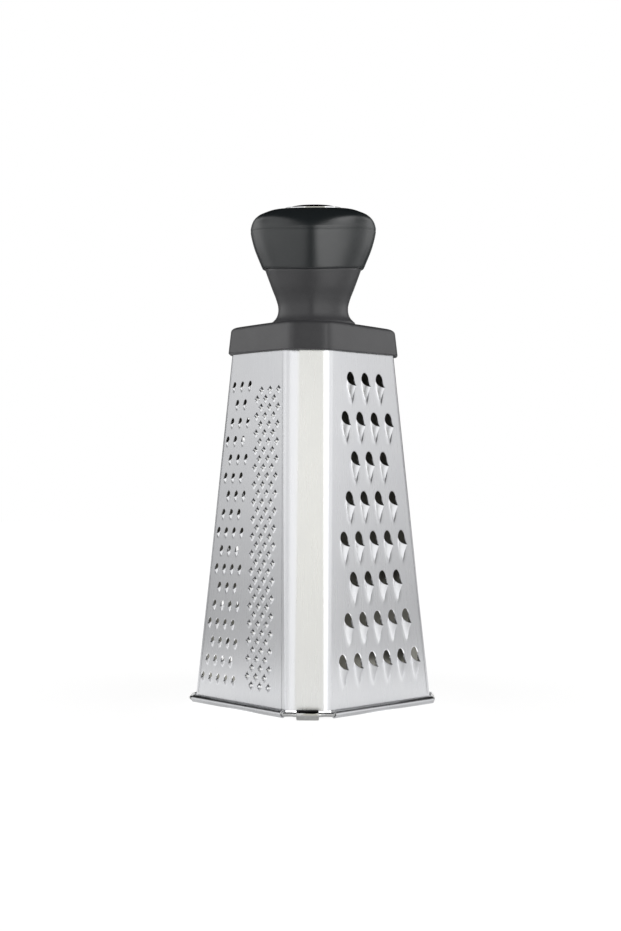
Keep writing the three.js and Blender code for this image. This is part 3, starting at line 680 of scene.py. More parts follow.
@dataclass
class FoldedBody:
    """The folded sheet: four pierced faces, three plain corners and the lapped front corner."""

    sheet: float = 0.5
    base_side: float = 88.4
    taper_height: float = 165.8
    collar_side: float = 63.9
    leg: float = 9.3
    top: float = 177.0  # height of the sheet's top edge, inside the collar
    tab: float = 6.0  # top edge folded inwards
    tab_half: float = 18.0
    tab_radius: float = 1.0  # of its bend
    tab_relief: float = 1.5  # height that the sheet beside a tab is cut down by
    tab_side: float = 0.5  # least distance from a tab to a bend
    front_notch: float = 3.3  # the front corner reaches lower over the wire
    hem_near: float = 29.2  # hem's end beside the sleeve, from the face's middle
    hem_far: float = 35.0  # hem's other ends
    hem_curl: float = 314.0  # degrees that the hem turns round the wire
    wire_radius: float = 1.05
    wire_clearance: float = 0.18
    flat_rim: float = 1.4  # flat band over the hem
    lap_gap: float = 0.3
    front_leg: float = 12.0  # the front corner is cut deeper
    front_radii: tuple[float, float] = (5.3, 6.9)  # its bend on the coarse face, low and high
    under_radii: tuple[float, float] = (8.9, 11.5)  # its bend on the rasp's face
    setback: tuple[float, float] = (3.0, 4.1)  # lapped edge to the next bend, low and high
    under: float = 10.0  # width of the layer under the lap
    coarse: Tooth = Tooth(4.7, 7.0, 3.4, 12.0, 32, (0.6, 0.7))
    medium: Tooth = Tooth(3.4, 5.0, 2.4, 8.4, 20, (0.5, 0.5))
    fine: Tooth = Tooth(2.2, 3.1, 1.3, 3.7, 16, (0.35, 0.35), rises=(0.0, 0.25, 0.6, 1.0), land=0.25)
    slot: Tooth = Tooth(40.0, 5.0, 3.0, 11.0, 64, (2.2, 1.2), oval=0.45, crest=7.0, bulge=0.2,
                        flare=1.03, land=0.8, field_power=4.0)  # each slot gets its own width
    burr: Burr = Burr()
    coarse_rows: ToothRows = ToothRows(23.9, 18.41, 12.9, pitch=9.4, margin=8.65, centre=2.7)
    medium_rows: ToothRows = ToothRows(18.0, 13.4, 13.7, pitch=7.6, margin=6.0, shifted=1)
    fine_rows: ToothRows = ToothRows(13.4, 8.63, 14.2, pitch=5.7, margin=2.95)
    fine_right: float = -8.0  # the fine teeth's right end, from the face's middle
    rasp_rows: ToothRows = ToothRows(11.8, 4.0, 16.9, pitch=6.0, centre=9.5)
    rasp_columns: int = 3
    rasp_lean: float = 0.032  # the rasp's run to the left for its height
    slot_rows: ToothRows = ToothRows(26.3, 40.6, 33.7, margin=7.1)
    most_columns: int = 20  # more teeth than fit to either side of a row's middle
    face_gap: float = 0.1  # from a corner's leg to where the rows' margin starts

    def __post_init__(self) -> None:
        """Works out the slope, the hem's place and the bends."""
        self.taper = (self.base_side - self.collar_side) / 2 / self.taper_height
        self.tilt = math.atan(self.taper)
        self.hem_inner = self.wire_radius + self.wire_clearance
        self.wire_z = self.hem_inner + self.sheet
        self.hem_start = (self.wire_z - self.hem_inner * math.sin(self.tilt)) / math.cos(self.tilt)
        self.wire_side = float(
            self.half(0.0) - self.hem_start * math.sin(self.tilt) + self.hem_inner * math.cos(self.tilt))
        self.plain = Bend(self.leg)
        self.broad = Bend(self.front_leg, *self.front_radii, notch=self.front_notch)
        lean = math.cos(math.atan(self.taper * math.sqrt(2)))
        under = math.sqrt(2) * (self.sheet + self.lap_gap) / lean
        self.folded_under = Bend(self.front_leg + under, *self.under_radii, notch=self.front_notch)

    def half(self, z: float | Array) -> float | Array:
        """Returns half the width across opposite faces at a height."""
        return self.base_side / 2 - self.taper * z

    def slope(self, z: float | Array) -> float | Array:
        """Returns the distance up a face's slope to a height."""
        return z / math.cos(self.tilt)

    def place(self, local: Array, face: Face) -> Array:
        """Puts face points (along, up the slope, out of the sheet) into the frame.

        Args:
            local: points (..., 3).
            face: the face.

        Returns:
            The points in the frame.
        """
        s, t, n = np.moveaxis(local, -1, 0)
        out = self.half(0.0) - t * math.sin(self.tilt) + n * math.cos(self.tilt)
        return turned(np.stack([s, -out, t * math.cos(self.tilt) + n * math.sin(self.tilt)], axis=-1),
                      face.value[1])

    def border(self, bend: Bend, t: float) -> float:
        """Returns the distance from a face's middle to where a bend's corner piece starts."""
        z = t * math.cos(self.tilt)
        return self.half(z) - bend.leg - EIGHTH * bend.radius(z / self.taper_height) - bend.land

    def heights(self, rows: ToothRows) -> Array:
        """Returns the heights of the rows that fit under the collar."""
        return np.arange(rows.first, self.taper_height - rows.top + WELD, rows.row_pitch)

    def side(self, z: Array, rows: ToothRows) -> Array:
        """Returns the distance from a face's middle to the rows' margin at heights."""
        return self.half(z) - self.leg - self.face_gap - rows.margin

    def centred_places(self, rows: ToothRows) -> Array:
        """Places teeth in rows that are centred, as many as fit in each.

        Args:
            rows: the rows.

        Returns:
            Places (teeth, 2), along the face and up the slope.
        """
        heights = self.heights(rows)
        columns = np.arange(-self.most_columns, self.most_columns + 1)
        row, column = np.meshgrid(np.arange(len(heights)), columns, indexing="ij")
        offset = (column + np.where(row % 2 == rows.shifted, 0.5, 0.0)) * rows.pitch
        kept = np.abs(offset) <= self.side(heights, rows)[row]
        return np.column_stack([(rows.centre + offset)[kept], self.slope(heights[row[kept]])])

    def fine_places(self) -> Array:
        """Places the fine teeth, which fill each row from beside the rasp to the left bend.

        Returns:
            Places (teeth, 2), along the face and up the slope.
        """
        rows = self.fine_rows
        heights = self.heights(rows)
        row, column = np.meshgrid(np.arange(len(heights)), np.arange(self.most_columns), indexing="ij")
        s = self.fine_right - (row % 2) * rows.pitch / 2 - column * rows.pitch
        kept = s >= -self.side(heights, rows)[row]
        return np.column_stack([s[kept], self.slope(heights[row[kept]])])

    def rasp_places(self) -> Array:
        """Places the rasp's burrs, in a block that leans with the face.

        Returns:
            Places (burrs, 2), along the face and up the slope.
        """
        rows = self.rasp_rows
        heights = self.heights(rows)
        row, column = np.meshgrid(np.arange(len(heights)), np.arange(self.rasp_columns), indexing="ij")
        shift = np.where(row % 2 == rows.shifted, 0.25, -0.25) * rows.pitch
        middle = rows.centre - self.rasp_lean * (heights[row] - rows.first) + shift
        s = middle + (column - (self.rasp_columns - 1) / 2) * rows.pitch
        return np.column_stack([s.ravel(), self.slope(heights[row]).ravel()])

    def piercings(self, face: Face) -> list[Array]:
        """Works out the rings of every tooth on a face.

        Args:
            face: the face.

        Returns:
            For each kind of tooth, points (copies, rings, points, 3).
        """
        if face is Face.SLICER:
            heights = self.heights(self.slot_rows)
            widths = 2 * (self.half(heights) - self.leg - self.slot_rows.margin)
            slots = [replace(self.slot, width=float(width)) for width in widths]
            places = np.column_stack([np.zeros_like(heights), self.slope(heights)])
            lattices = [(slot, place[None]) for slot, place in zip(slots, places)]
        elif face is Face.FINE_RASP:
            lattices = [(self.fine, self.fine_places()), (self.burr, self.rasp_places())]
        elif face is Face.MEDIUM:
            lattices = [(self.medium, self.centred_places(self.medium_rows))]
        else:
            lattices = [(self.coarse, self.centred_places(self.coarse_rows))]
        shifts = [np.column_stack([places, np.zeros(len(places))]) for _, places in lattices]
        return [tooth.rings() + shift[:, None, None] for (tooth, _), shift in zip(lattices, shifts)]

    def hem(self, ends: Array) -> Array:
        """Works out the hem: a flat band, then an arc round the wire, carried along the face.

        Args:
            ends: its right and left ends along the face.

        Returns:
            Points (rows, 2, 3), along the face, up it and out of it.
        """
        turn = np.radians(np.linspace(0.0, self.hem_curl - math.degrees(self.tilt), 40))
        out = self.hem_inner * (1 - np.cos(turn))
        up = self.hem_start - self.hem_inner * np.sin(turn)
        profile = np.vstack([[self.hem_start + self.flat_rim, 0.0], np.column_stack([up, out])])
        s, row = np.meshgrid(ends, np.arange(len(profile)))
        return np.stack([s, profile[row, 0], profile[row, 1]], axis=-1)

    def tab_end(self, bend: Bend) -> float:
        """Returns the distance from a face's middle to the end of its tab beside a bend."""
        return min(self.tab_half, self.border(bend, self.slope(self.top)) - self.tab_side)

    def top_tab(self, ends: Array) -> Array:
        """Works out the top tab: a quarter bend inwards and a flat, carried along the face.

        Args:
            ends: its left and right ends along the face.

        Returns:
            Points (rows, 2, 3), along the face, up it and out of it.
        """
        radius = self.tab_radius
        turn = np.radians(np.linspace(0.0, 90.0 - math.degrees(self.tilt), 7))
        top = self.slope(self.top)
        out = -radius * (1 - np.cos(turn))
        up = top - radius + radius * np.sin(turn)
        ahead = self.tab * np.array([np.cos(turn[-1]), -np.sin(turn[-1])])
        profile = np.vstack([
            [top - self.tab_relief, 0.0],
            np.column_stack([up, out]),
            [up[-1] + ahead[0], out[-1] + ahead[1]],
        ])
        s, row = np.meshgrid(ends, np.arange(len(profile)))
        return np.stack([s, profile[row, 0], profile[row, 1]], axis=-1)

    def build_face(self, face: Face, left: Bend, right: Bend) -> bpy.types.Object:
        """Builds one face: its teeth, the flat sheet round them, its hem and its tab.

        Args:
            face: the face.
            left: the bend on its left, seen from outside.
            right: the bend on its right.

        Returns:
            The face's object.
        """
        low = self.hem_start + self.flat_rim
        high = self.slope(self.top) - self.tab_relief
        ends = np.array([
            self.hem_near if right is self.folded_under else self.hem_far,
            -self.hem_near if left is self.broad else -self.hem_far,
        ])
        tabs = np.array([-self.tab_end(left), self.tab_end(right)])
        left_notch, right_notch = self.slope(left.notch), self.slope(right.notch)
        outline = np.array([
            [ends[1], low],
            [ends[0], low],
            [ends[0], right_notch],
            [self.border(right, right_notch), right_notch],
            [self.border(right, high), high],
            [tabs[1], high],
            [tabs[0], high],
            [-self.border(left, high), high],
            [-self.border(left, left_notch), left_notch],
            [ends[1], left_notch],
        ])
        teeth = self.piercings(face)
        flat, triangles = flat_remainder(outline, [rings[:, 0, :, :2] for rings in teeth])
        local = Patchwork()
        local.add(np.column_stack([flat, np.zeros(len(flat))]), triangles)
        for rings in teeth:
            local.add_grid(rings, wrap_columns=True)
        local.add_grid(self.hem(ends))
        local.add_grid(self.top_tab(tabs)[::-1])
        shell = local.welded()
        shell.points = self.place(shell.points, face)
        shell = shell.thickened(self.sheet)
        shell.inner[shell.face_charts()[:, 1] < low - WELD] = 0  # the hem turns the sheet's back outwards
        node = face.value[0]
        return shell.piece(f"{node}_sheet", "sheet_steel", [node], SHEET_OUTSIDE, SHEET_INSIDE_PAINTED_SHADE)

    def corner_lines(self, first: Bend | None, second: Bend | None, cut: tuple[float, float]) -> Array:
        """Works out a corner piece between two faces, for the +X -Y corner.

        In plan it is a flat, an arc of 45 degrees, the strip's flat, another arc of 45
        degrees and a flat. Where one bend is missing, the strip ends at a cut edge instead.
        Both ends of every line lie on straight lines up the body.

        Args:
            first: the bend on the -Y side.
            second: the bend on the +X side.
            cut: distance from the missing bend to the cut edge, low and high.

        Returns:
            Points (2, points, 3).
        """
        turn = np.radians(np.linspace(0.0, 45.0, 11))
        diagonal = np.array([1.0, 1.0]) / math.sqrt(2)
        bend = first or second
        levels = []
        for z, share in ((bend.notch, 0), (self.top - self.tab_relief, 1)):
            half = self.half(z)
            lines = []
            start = np.array([half - bend.leg, -half])
            end = np.array([half, bend.leg - half])
            height = z / self.taper_height
            if first:
                radius = first.radius(height)
                centre = start + [-EIGHTH * radius, radius]
                arc = centre + radius * np.column_stack([np.sin(turn), -np.cos(turn)])
                lines += [arc[:1] - [first.land, 0.0], arc, arc[-1:] + first.land * diagonal]
            else:
                lines.append((start + cut[share] * diagonal)[None])
            if second:
                radius = second.radius(height)
                centre = end + [-radius, EIGHTH * radius]
                arc = centre + radius * np.column_stack([np.cos(turn[::-1]), -np.sin(turn[::-1])])
                lines += [arc[:1] - second.land * diagonal, arc, arc[-1:] + [0.0, second.land]]
            else:
                lines.append((end - cut[share] * diagonal)[None])
            plan = np.concatenate(lines)
            levels.append(np.column_stack([plan, np.full(len(plan), z)]))
        return np.array(levels)

    def build_corner(self, node: str, quarters: int, first: Bend | None, second: Bend | None,
                     cut: tuple[float, float] = (0.0, 0.0)) -> bpy.types.Object:
        """Builds a corner piece of sheet with its bends.

        Args:
            node: the CAD node.
            quarters: quarter turns from the +X -Y corner.
            first: the bend on the clockwise side.
            second: the bend on the other side.
            cut: distance from a missing bend to the cut edge, low and high.

        Returns:
            The corner's object.
        """
        lines = self.corner_lines(first, second, cut)
        run = np.linalg.norm(np.diff(lines[0], axis=0), axis=1)
        across = np.concatenate([[0.0], np.cumsum(run)])
        chart = np.stack([np.stack([across, np.full_like(across, z)], axis=-1) for z in lines[:, 0, 2]])
        patch = Patchwork()
        patch.add_grid(turned(lines, quarters))
        patch.charts = [chart.reshape(-1, 2)]
        return patch.welded().thickened(self.sheet).piece(
            f"{node}_sheet", "sheet_steel", [node], SHEET_OUTSIDE, SHEET_INSIDE_PAINTED_SHADE)

    def build(self) -> list[bpy.types.Object]:
        """Builds the faces, the corners and the lap.

        Returns:
            Their objects.
        """
        hidden = self.folded_under.leg * math.sqrt(2) - self.under
        return [
            self.build_face(Face.COARSE, self.broad, self.plain),
            self.build_face(Face.SLICER, self.plain, self.plain),
            self.build_face(Face.MEDIUM, self.plain, self.plain),
            self.build_face(Face.FINE_RASP, self.plain, self.folded_under),
            *(self.build_corner(*corner.value, self.plain, self.plain) for corner in Corner),
            self.build_corner("corner_strip_front", 3, None, self.broad, self.setback),
            self.build_corner("seam_flange", 3, self.folded_under, None, (hidden, hidden)),
        ]


@dataclass
class BaseWire:
    """The wire inside the hems, bare at the corners, and the ferrule that joins its ends."""

    body: FoldedBody
    corner_legs: tuple[float, float, float] = (9.4, 9.3, 7.9)  # cut from the right, rear and left corners
    corner_radius: float = 4.0
    butt_gap: float = 0.8
    sleeve_length: float = 9.9
    sleeve_radius: float = 2.4
    sleeve_edge: float = 0.35
    sleeve_clearance: float = 0.15
    standoff: float = 0.5  # from the corner strip to the sleeve
    spacing: float = 1.2  # of the wire's sections

    def __post_init__(self) -> None:
        """Works out where the sleeve lies."""
        body = self.body
        strip = (2 * body.half(body.wire_z) - body.leg) / math.sqrt(2)
        self.reach = strip + self.standoff + self.sleeve_radius
        self.middle = -self.reach * np.array([1.0, 1.0]) / math.sqrt(2)
        self.along = np.array([1.0, -1.0]) / math.sqrt(2)

    def route(self) -> Array:
        """Works out the wire's axis from one side of the sleeve round to the other.

        In plan it runs straight between the ends of cut corners, and each end is a parabola
        that starts and ends at the same distance from it. Near the sleeve it climbs to the
        sleeve's axis.

        Returns:
            Points (n, 3), evenly spaced.
        """
        side = self.body.wire_side
        bend = self.reach * math.sqrt(2) - side
        ends = self.along * self.butt_gap / 2
        right, rear, left = side - np.array(self.corner_legs)
        corners = np.array([
            self.middle + ends, [-bend, -side],
            [right, -side], [side, -right], [side, rear], [rear, side], [-left, side], [-side, left],
            [-side, -bend], self.middle - ends,
        ])
        u = np.linspace(0.0, 1.0, 13)[:, None]
        plan = [corners[:1]]
        for before, corner, after in zip(corners, corners[1:], corners[2:]):
            back = (before - corner) / np.linalg.norm(before - corner)
            ahead = (after - corner) / np.linalg.norm(after - corner)
            reach = self.corner_radius / math.tan(math.acos(back @ ahead) / 2)
            plan.append(corner + reach * ((1 - u) ** 2 * back + u ** 2 * ahead))
        plan.append(corners[-1:])
        line = np.concatenate(plan)
        length = np.concatenate([[0.0], np.cumsum(np.linalg.norm(np.diff(line, axis=0), axis=1))])
        places = np.linspace(0.0, length[-1], round(length[-1] / self.spacing))
        x, y = (np.interp(places, length, line[:, axis]) for axis in (0, 1))
        out = -(x + y) / math.sqrt(2)
        hem_end = (self.body.hem_near + side) / math.sqrt(2)
        share = np.clip((out - hem_end) / (self.reach - self.body.wire_radius - hem_end), 0.0, 1.0)
        z = self.body.wire_z + share ** 2 * (3 - 2 * share) * (self.sleeve_radius - self.body.wire_z)
        return np.column_stack([x, y, z])

    def build_wire(self) -> bpy.types.Object:
        """Builds the wire: a circle carried along the route, with closed ends.

        Returns:
            The wire's object.
        """
        line = self.route()
        forward = np.gradient(line[:, :2], axis=0)
        forward /= np.linalg.norm(forward, axis=1, keepdims=True)
        left = np.column_stack([-forward[:, 1], forward[:, 0], np.zeros(len(line))])
        angle = np.linspace(0.0, 2 * math.pi, 16, endpoint=False)
        up = np.array([0.0, 0.0, 1.0])
        ring = np.cos(angle)[None, :, None] * left[:, None] + np.sin(angle)[None, :, None] * up
        tube = line[:, None] + self.body.wire_radius * ring
        patch = Patchwork()
        patch.add_grid(tube, wrap_columns=True)
        patch.add_fan(tube[0], flip=True)
        patch.add_fan(tube[-1])
        return patch.welded().outward().piece("hem_wire", "wire_steel", ["base_wire"], WIRE_STEEL)

    def build_sleeve(self) -> bpy.types.Object:
        """Builds the ferrule: a closed profile with rounded ends, turned about the wire's axis.

        Returns:
            The ferrule's object.
        """
        half, radius, edge = self.sleeve_length / 2, self.sleeve_radius, self.sleeve_edge
        bore = self.body.wire_radius + self.sleeve_clearance
        turn = np.radians(np.linspace(0.0, 90.0, 5))
        right = np.column_stack([half - edge + edge * np.sin(turn), radius - edge + edge * np.cos(turn)])
        left = (right * [-1.0, 1.0])[::-1]
        profile = np.vstack([left, right, [[half, bore], [-half, bore]]])
        angle = np.linspace(0.0, 2 * math.pi, 40, endpoint=False)
        offset, reach = profile[:, 0, None], profile[:, 1, None]
        out = reach * np.cos(angle)
        grid = np.stack([
            self.middle[0] + self.along[0] * offset - self.along[1] * out,
            self.middle[1] + self.along[1] * offset + self.along[0] * out,
            np.broadcast_to(radius + reach * np.sin(angle), out.shape),
        ], axis=-1)
        patch = Patchwork()
        patch.add_grid(grid, wrap_rows=True, wrap_columns=True)
        return patch.welded().outward().piece("wire_ferrule", "sleeve_steel", ["wire_sleeve"], SLEEVE_STEEL)

    def build(self) -> list[bpy.types.Object]:
        """Builds the wire and its ferrule, and returns them."""
        return [self.build_wire(), self.build_sleeve()]


POLAR = np.linspace(0.0, 2 * math.pi, 240, endpoint=False)
FRONT_FLAT = 5  # of eight flats in turn from +X, the one over the -X -Y corner


def flats(half: Array, leg: float, front_leg: float, power: float = 140.0) -> Array:
    """Works out a square with cut corners, as a radius for each polar angle.

    The radius is 1 over the power mean of cos(angle - normal) / distance over its eight
    flats, so that a high power leaves the corners between them slightly round.

    Args:
        half: half the width, for each row.
        leg: length that a cut corner takes from a side.
        front_leg: the same for the -X -Y corner.
        power: how sharp the corners are.

    Returns:
        Radii (rows, angles).
    """
    half = np.atleast_1d(half)[:, None, None]
    normals = np.arange(8) * math.pi / 4
    legs = np.full(8, leg)
    legs[FRONT_FLAT] = front_leg
    distances = np.where(np.arange(8) % 2 == 0, half, (2 * half - legs) / math.sqrt(2))
    facing = np.maximum(np.cos(POLAR[None, :, None] - normals), 0.0) / distances
    peak = facing.max(axis=-1)
    return 1 / (peak * ((facing / peak[..., None]) ** power).sum(axis=-1) ** (1 / power))


def lens(sections: Array) -> Array:
    """Works out the handle's oblong section, as a radius for each polar angle.

    Two sloping flanks meet in a rounded ridge over the front corner, two more at the rear,
    and the ends between them are round. Flanks are joined by a power mean, and that by
    another with the distance to the ends.

    Args:
        sections: half width, half depth at the ridge, sharpness of the ridges and of the ends,
            and slope of a flank from the ridge to an end, for each row.

    Returns:
        Radii (rows, angles).
    """
    wide, deep, ridge, end, fall = (column[:, None] for column in sections.T)
    u, v = np.abs(np.cos(POLAR + math.pi / 4)), np.abs(np.sin(POLAR + math.pi / 4))
    near, far = v + fall * u, np.abs(v - fall * u)
    flank = near * ((1 + (far / near) ** ridge) / 2) ** (1 / ridge) / deep
    reach = (wide ** -end - (fall / deep) ** end) ** (1 / end)
    return (flank ** end + (reach * u) ** end) ** (-1 / end)


def rings(radii: Array, z: Array) -> Array:
    """Puts polar radii at their heights.

    Args:
        radii: radii (rows, angles).
        z: a height for each row.

    Returns:
        Points (rows, angles, 3).
    """
    height = np.broadcast_to(np.asarray(z, float)[:, None], radii.shape)
    return np.stack([radii * np.cos(POLAR), radii * np.sin(POLAR), height], axis=-1)


def disc(radius: float | Array) -> Array:
    """Returns the polar radii of circles, one row for each radius."""
    return np.repeat(np.atleast_1d(np.asarray(radius, float))[:, None], len(POLAR), axis=1)


@dataclass
class Handle:
    """Collar, neck and core in one moulding, and the soft grip over the core."""

    body: FoldedBody
    clearance: float = 0.3
    wall: float = 1.4
    collar_leg: float = 9.7
    collar_front_leg: float = 12.4
    cavity_front_leg: float = 11.2
    collar_height: float = 13.6
    collar_edge: float = 2.0
    collar_foot: float = 0.45  # rounding of the lower edge
    collar_sharpness: float = 42.0
    roll: float = 0.6  # the collar sits a little lower on its right
    corner_lift: float = 0.6  # its height shrinks towards its left and right corners, above and below
    roof: float = 177.3
    roof_rise: float = 1.0  # the collar's roof climbs to the neck
    fillet: float = 1.8
    boss: float = 8.0
    pilot: float = 2.3
    pilot_top: float = 193.8
    grip_wall: float = 2.2
    grip_gap: float = 0.3
    grip_edge: float = 0.25
    dip: float = 1.8  # the grip's edge hangs lower at the front and the rear
    dip_spans: tuple[float, float] = (13.0, 27.0)  # below the edge and above it
    seam_depth: float = 0.14
    seam_rise: tuple[float, float] = (0.5, 0.12)  # from the seam's middle to its rims and its floor
    seam_clear: float = 0.7  # from the seam's middle to the next rows of the skin
    neck_rim: float = 0.15  # rounding of the neck's upper edge
    neck_step: float = 1.6  # from the neck's upper edge in to the core
    mouth: float = 0.2  # the grip's inner wall stands inside its opening by this
    # height, half width, half depth, sharpness of ridge and of ends, slope of the flanks
    neck: Array = field(default_factory=lambda: np.array([
        [182.2, 20.2, 12.6, 26.0, 3.6, 0.25],
        [184.2, 18.2, 11.6, 26.0, 3.8, 0.25],
        [186.2, 17.2, 11.1, 26.0, 4.0, 0.25],
        [189.6, 16.9, 11.0, 26.0, 4.0, 0.25],
        [193.9, 18.0, 11.3, 14.0, 4.1, 0.25],
        [198.5, 19.8, 12.0, 9.0, 4.3, 0.25],
        [208.0, 23.3, 13.2, 11.0, 4.6, 0.25],
    ]))
    grip: Array = field(default_factory=lambda: np.array([
        [208.3, 24.5, 13.5, 14.0, 4.6, 0.25],
        [218.7, 28.6, 14.6, 18.0, 4.6, 0.25],
        [226.4, 30.3, 15.0, 18.0, 4.4, 0.25],
        [229.0, 30.0, 14.2, 16.0, 4.2, 0.21],
        [231.3, 29.0, 12.7, 10.0, 4.0, 0.13],
        [233.4, 26.8, 10.9, 6.0, 3.6, 0.06],
        [235.0, 23.6, 9.3, 4.0, 3.2, 0.02],
        [236.4, 19.6, 7.9, 3.0, 3.0, 0.01],
        [236.9, 14.0, 6.5, 3.0, 2.8, 0.01],
    ]))

    def collar(self, z: Array, inset: Array | float = 0.0) -> Array:
        """Returns the collar's outer section at heights, set in by an inset, as polar radii."""
        half = self.body.half(z) + self.clearance + self.wall - inset
        return flats(half, self.collar_leg, self.collar_front_leg, self.collar_sharpness)

    def askew(self, rows: Array, rise: float) -> Array:
        """Tips the collar a little to its right, and draws its left and right corners up or down.

        Args:
            rows: points of the collar (rows, angles, 3).
            rise: how far the two corners are drawn up, by the square of the way to them.

        Returns:
            The moved points.
        """
        width = 2 * self.body.half(self.body.taper_height) - self.collar_leg
        share = np.clip((rows[..., 0] - rows[..., 1]) / width, -1.0, 1.0)
        rows[..., 2] += rise * share ** 2 - self.roll * share
        return rows

    def dipped(self, rows: Array) -> Array:
        """Lowers points near the grip's edge by the square of their depth, fading out above and below.

        Args:
            rows: points of the neck or the grip (rows, angles, 3).

        Returns:
            The moved points.
        """
        edge, deep = self.grip[0, 0], self.grip[0, 2]
        depth = (rows[..., 0] + rows[..., 1]) / math.sqrt(2) / deep
        span = np.where(rows[..., 2] < edge, *self.dip_spans)
        fade = np.clip(1 - np.abs(rows[..., 2] - edge) / span, 0.0, 1.0)
        rows[..., 2] -= self.dip * depth ** 2 * fade
        return rows

    def build_core(self) -> bpy.types.Object:
        """Builds the moulding: one profile from the pilot hole, round the collar and up to the core's top.

        Each row of the profile is a polar section at a height: circles in the boss, cut
        squares in the collar, and lens sections from the fillet up.

        Returns:
            The moulding's object.
        """
        low = self.body.taper_height
        top = low + self.collar_height
        boss_z = self.body.top - self.body.sheet
        inner = np.array([self.roof, low + self.collar_foot])
        quarter = np.radians(np.linspace(0.0, 90.0, 7))
        foot_z = low + self.collar_foot * (1 - np.sin(quarter))
        foot_in = self.collar_foot * (1 - np.cos(quarter))
        edge_z = top - self.collar_edge * (1 - np.sin(quarter))
        edge_in = self.collar_edge * (1 - np.cos(quarter))
        flare = self.fillet * (1 - np.sin(quarter))
        fillet = np.repeat(self.neck[:1], len(quarter), axis=0)
        fillet[:, 1] += flare
        fillet[:, 2] += flare
        fillet_z = top + self.roof_rise + self.fillet * (1 - np.cos(quarter))
        neck = smooth_run(self.neck, 36)[1:]
        rim = np.repeat(neck[-1:], 2, axis=0)
        rim[:, 0] += self.neck_rim
        rim[:, 1:3] -= np.array([[self.neck_rim], [self.neck_step]])
        core = smooth_run(self.grip, 20)[1:-3]
        core[:, 1:3] -= self.grip_wall + self.grip_gap
        patch = Patchwork()
        rows = np.concatenate([
            rings(disc([self.pilot, self.pilot, self.boss, self.boss]),
                  [self.pilot_top, boss_z, boss_z, self.roof]),
            rings(flats(self.body.half(inner) + self.clearance, self.body.leg, self.cavity_front_leg), inner),
            self.askew(rings(self.collar(foot_z, foot_in), foot_z)[::-1], self.corner_lift),
            self.askew(rings(self.collar(edge_z, edge_in), edge_z), -self.corner_lift),
            rings(lens(fillet[:, 1:]), fillet_z),
            self.dipped(rings(lens(neck[:, 1:]), neck[:, 0])),
            self.dipped(rings(lens(rim[:, 1:]), rim[:, 0])),
            self.dipped(rings(lens(core[:, 1:]), core[:, 0])),
        ])
        patch.add_grid(rows, wrap_columns=True)
        patch.add_fan(rows[0], flip=True)
        patch.add_fan(rows[-1])
        shell = patch.welded().outward()
        return shell.piece("collar_and_neck", "hard_plastic", ["handle_core"], HARD_PLASTIC)

    def build_grip(self) -> bpy.types.Object:
        """Builds the soft grip: lens sections up its skin and down its inner wall, with a moulding seam.

        The foot's edge is a quarter round, and the seam is a shallow groove round the widest
        section.

        Returns:
            The grip's object.
        """
        skin = smooth_run(self.grip, 64)
        belly = self.grip[2, 0]
        rim, floor = self.seam_rise
        seam = np.repeat(skin[np.argmin(np.abs(skin[:, 0] - belly))][None], 4, axis=0)
        seam[:, 0] = belly + np.array([-rim, -floor, floor, rim])
        seam[:, 1:3] -= self.seam_depth * np.array([[0.0], [1.0], [1.0], [0.0]])
        outer = np.concatenate([
            skin[skin[:, 0] < belly - self.seam_clear],
            seam,
            skin[skin[:, 0] > belly + self.seam_clear],
        ])
        quarter = np.radians(np.linspace(0.0, 90.0, 5))[:-1]
        foot = np.repeat(outer[:1], len(quarter), axis=0)
        foot[:, 1:3] -= (self.grip_edge * (1 - np.sin(quarter)))[:, None]
        foot[:, 0] = outer[0, 0] + self.grip_edge * (1 - np.cos(quarter))
        body = outer[outer[:, 0] > outer[0, 0] + self.grip_edge]
        inner = outer[::4].copy()
        inner[:, 1:3] = np.maximum(inner[:, 1:3] - self.grip_wall, self.grip[-1, 1:3] - self.mouth)
        inner[:, 0] = np.minimum(inner[:, 0], self.grip[-1, 0] - self.grip_wall / 2)
        rows = np.concatenate([foot, body, inner[::-1]])
        patch = Patchwork()
        patch.add_grid(self.dipped(rings(lens(rows[:, 1:]), rows[:, 0])), wrap_rows=True, wrap_columns=True)
        return patch.welded().outward().piece("soft_knob_grip", "soft_grip", ["knob_grip"], SOFT_GRIP)

    def build(self) -> list[bpy.types.Object]:
        """Builds the moulding and its grip, and returns them."""
        return [self.build_core(), self.build_grip()]


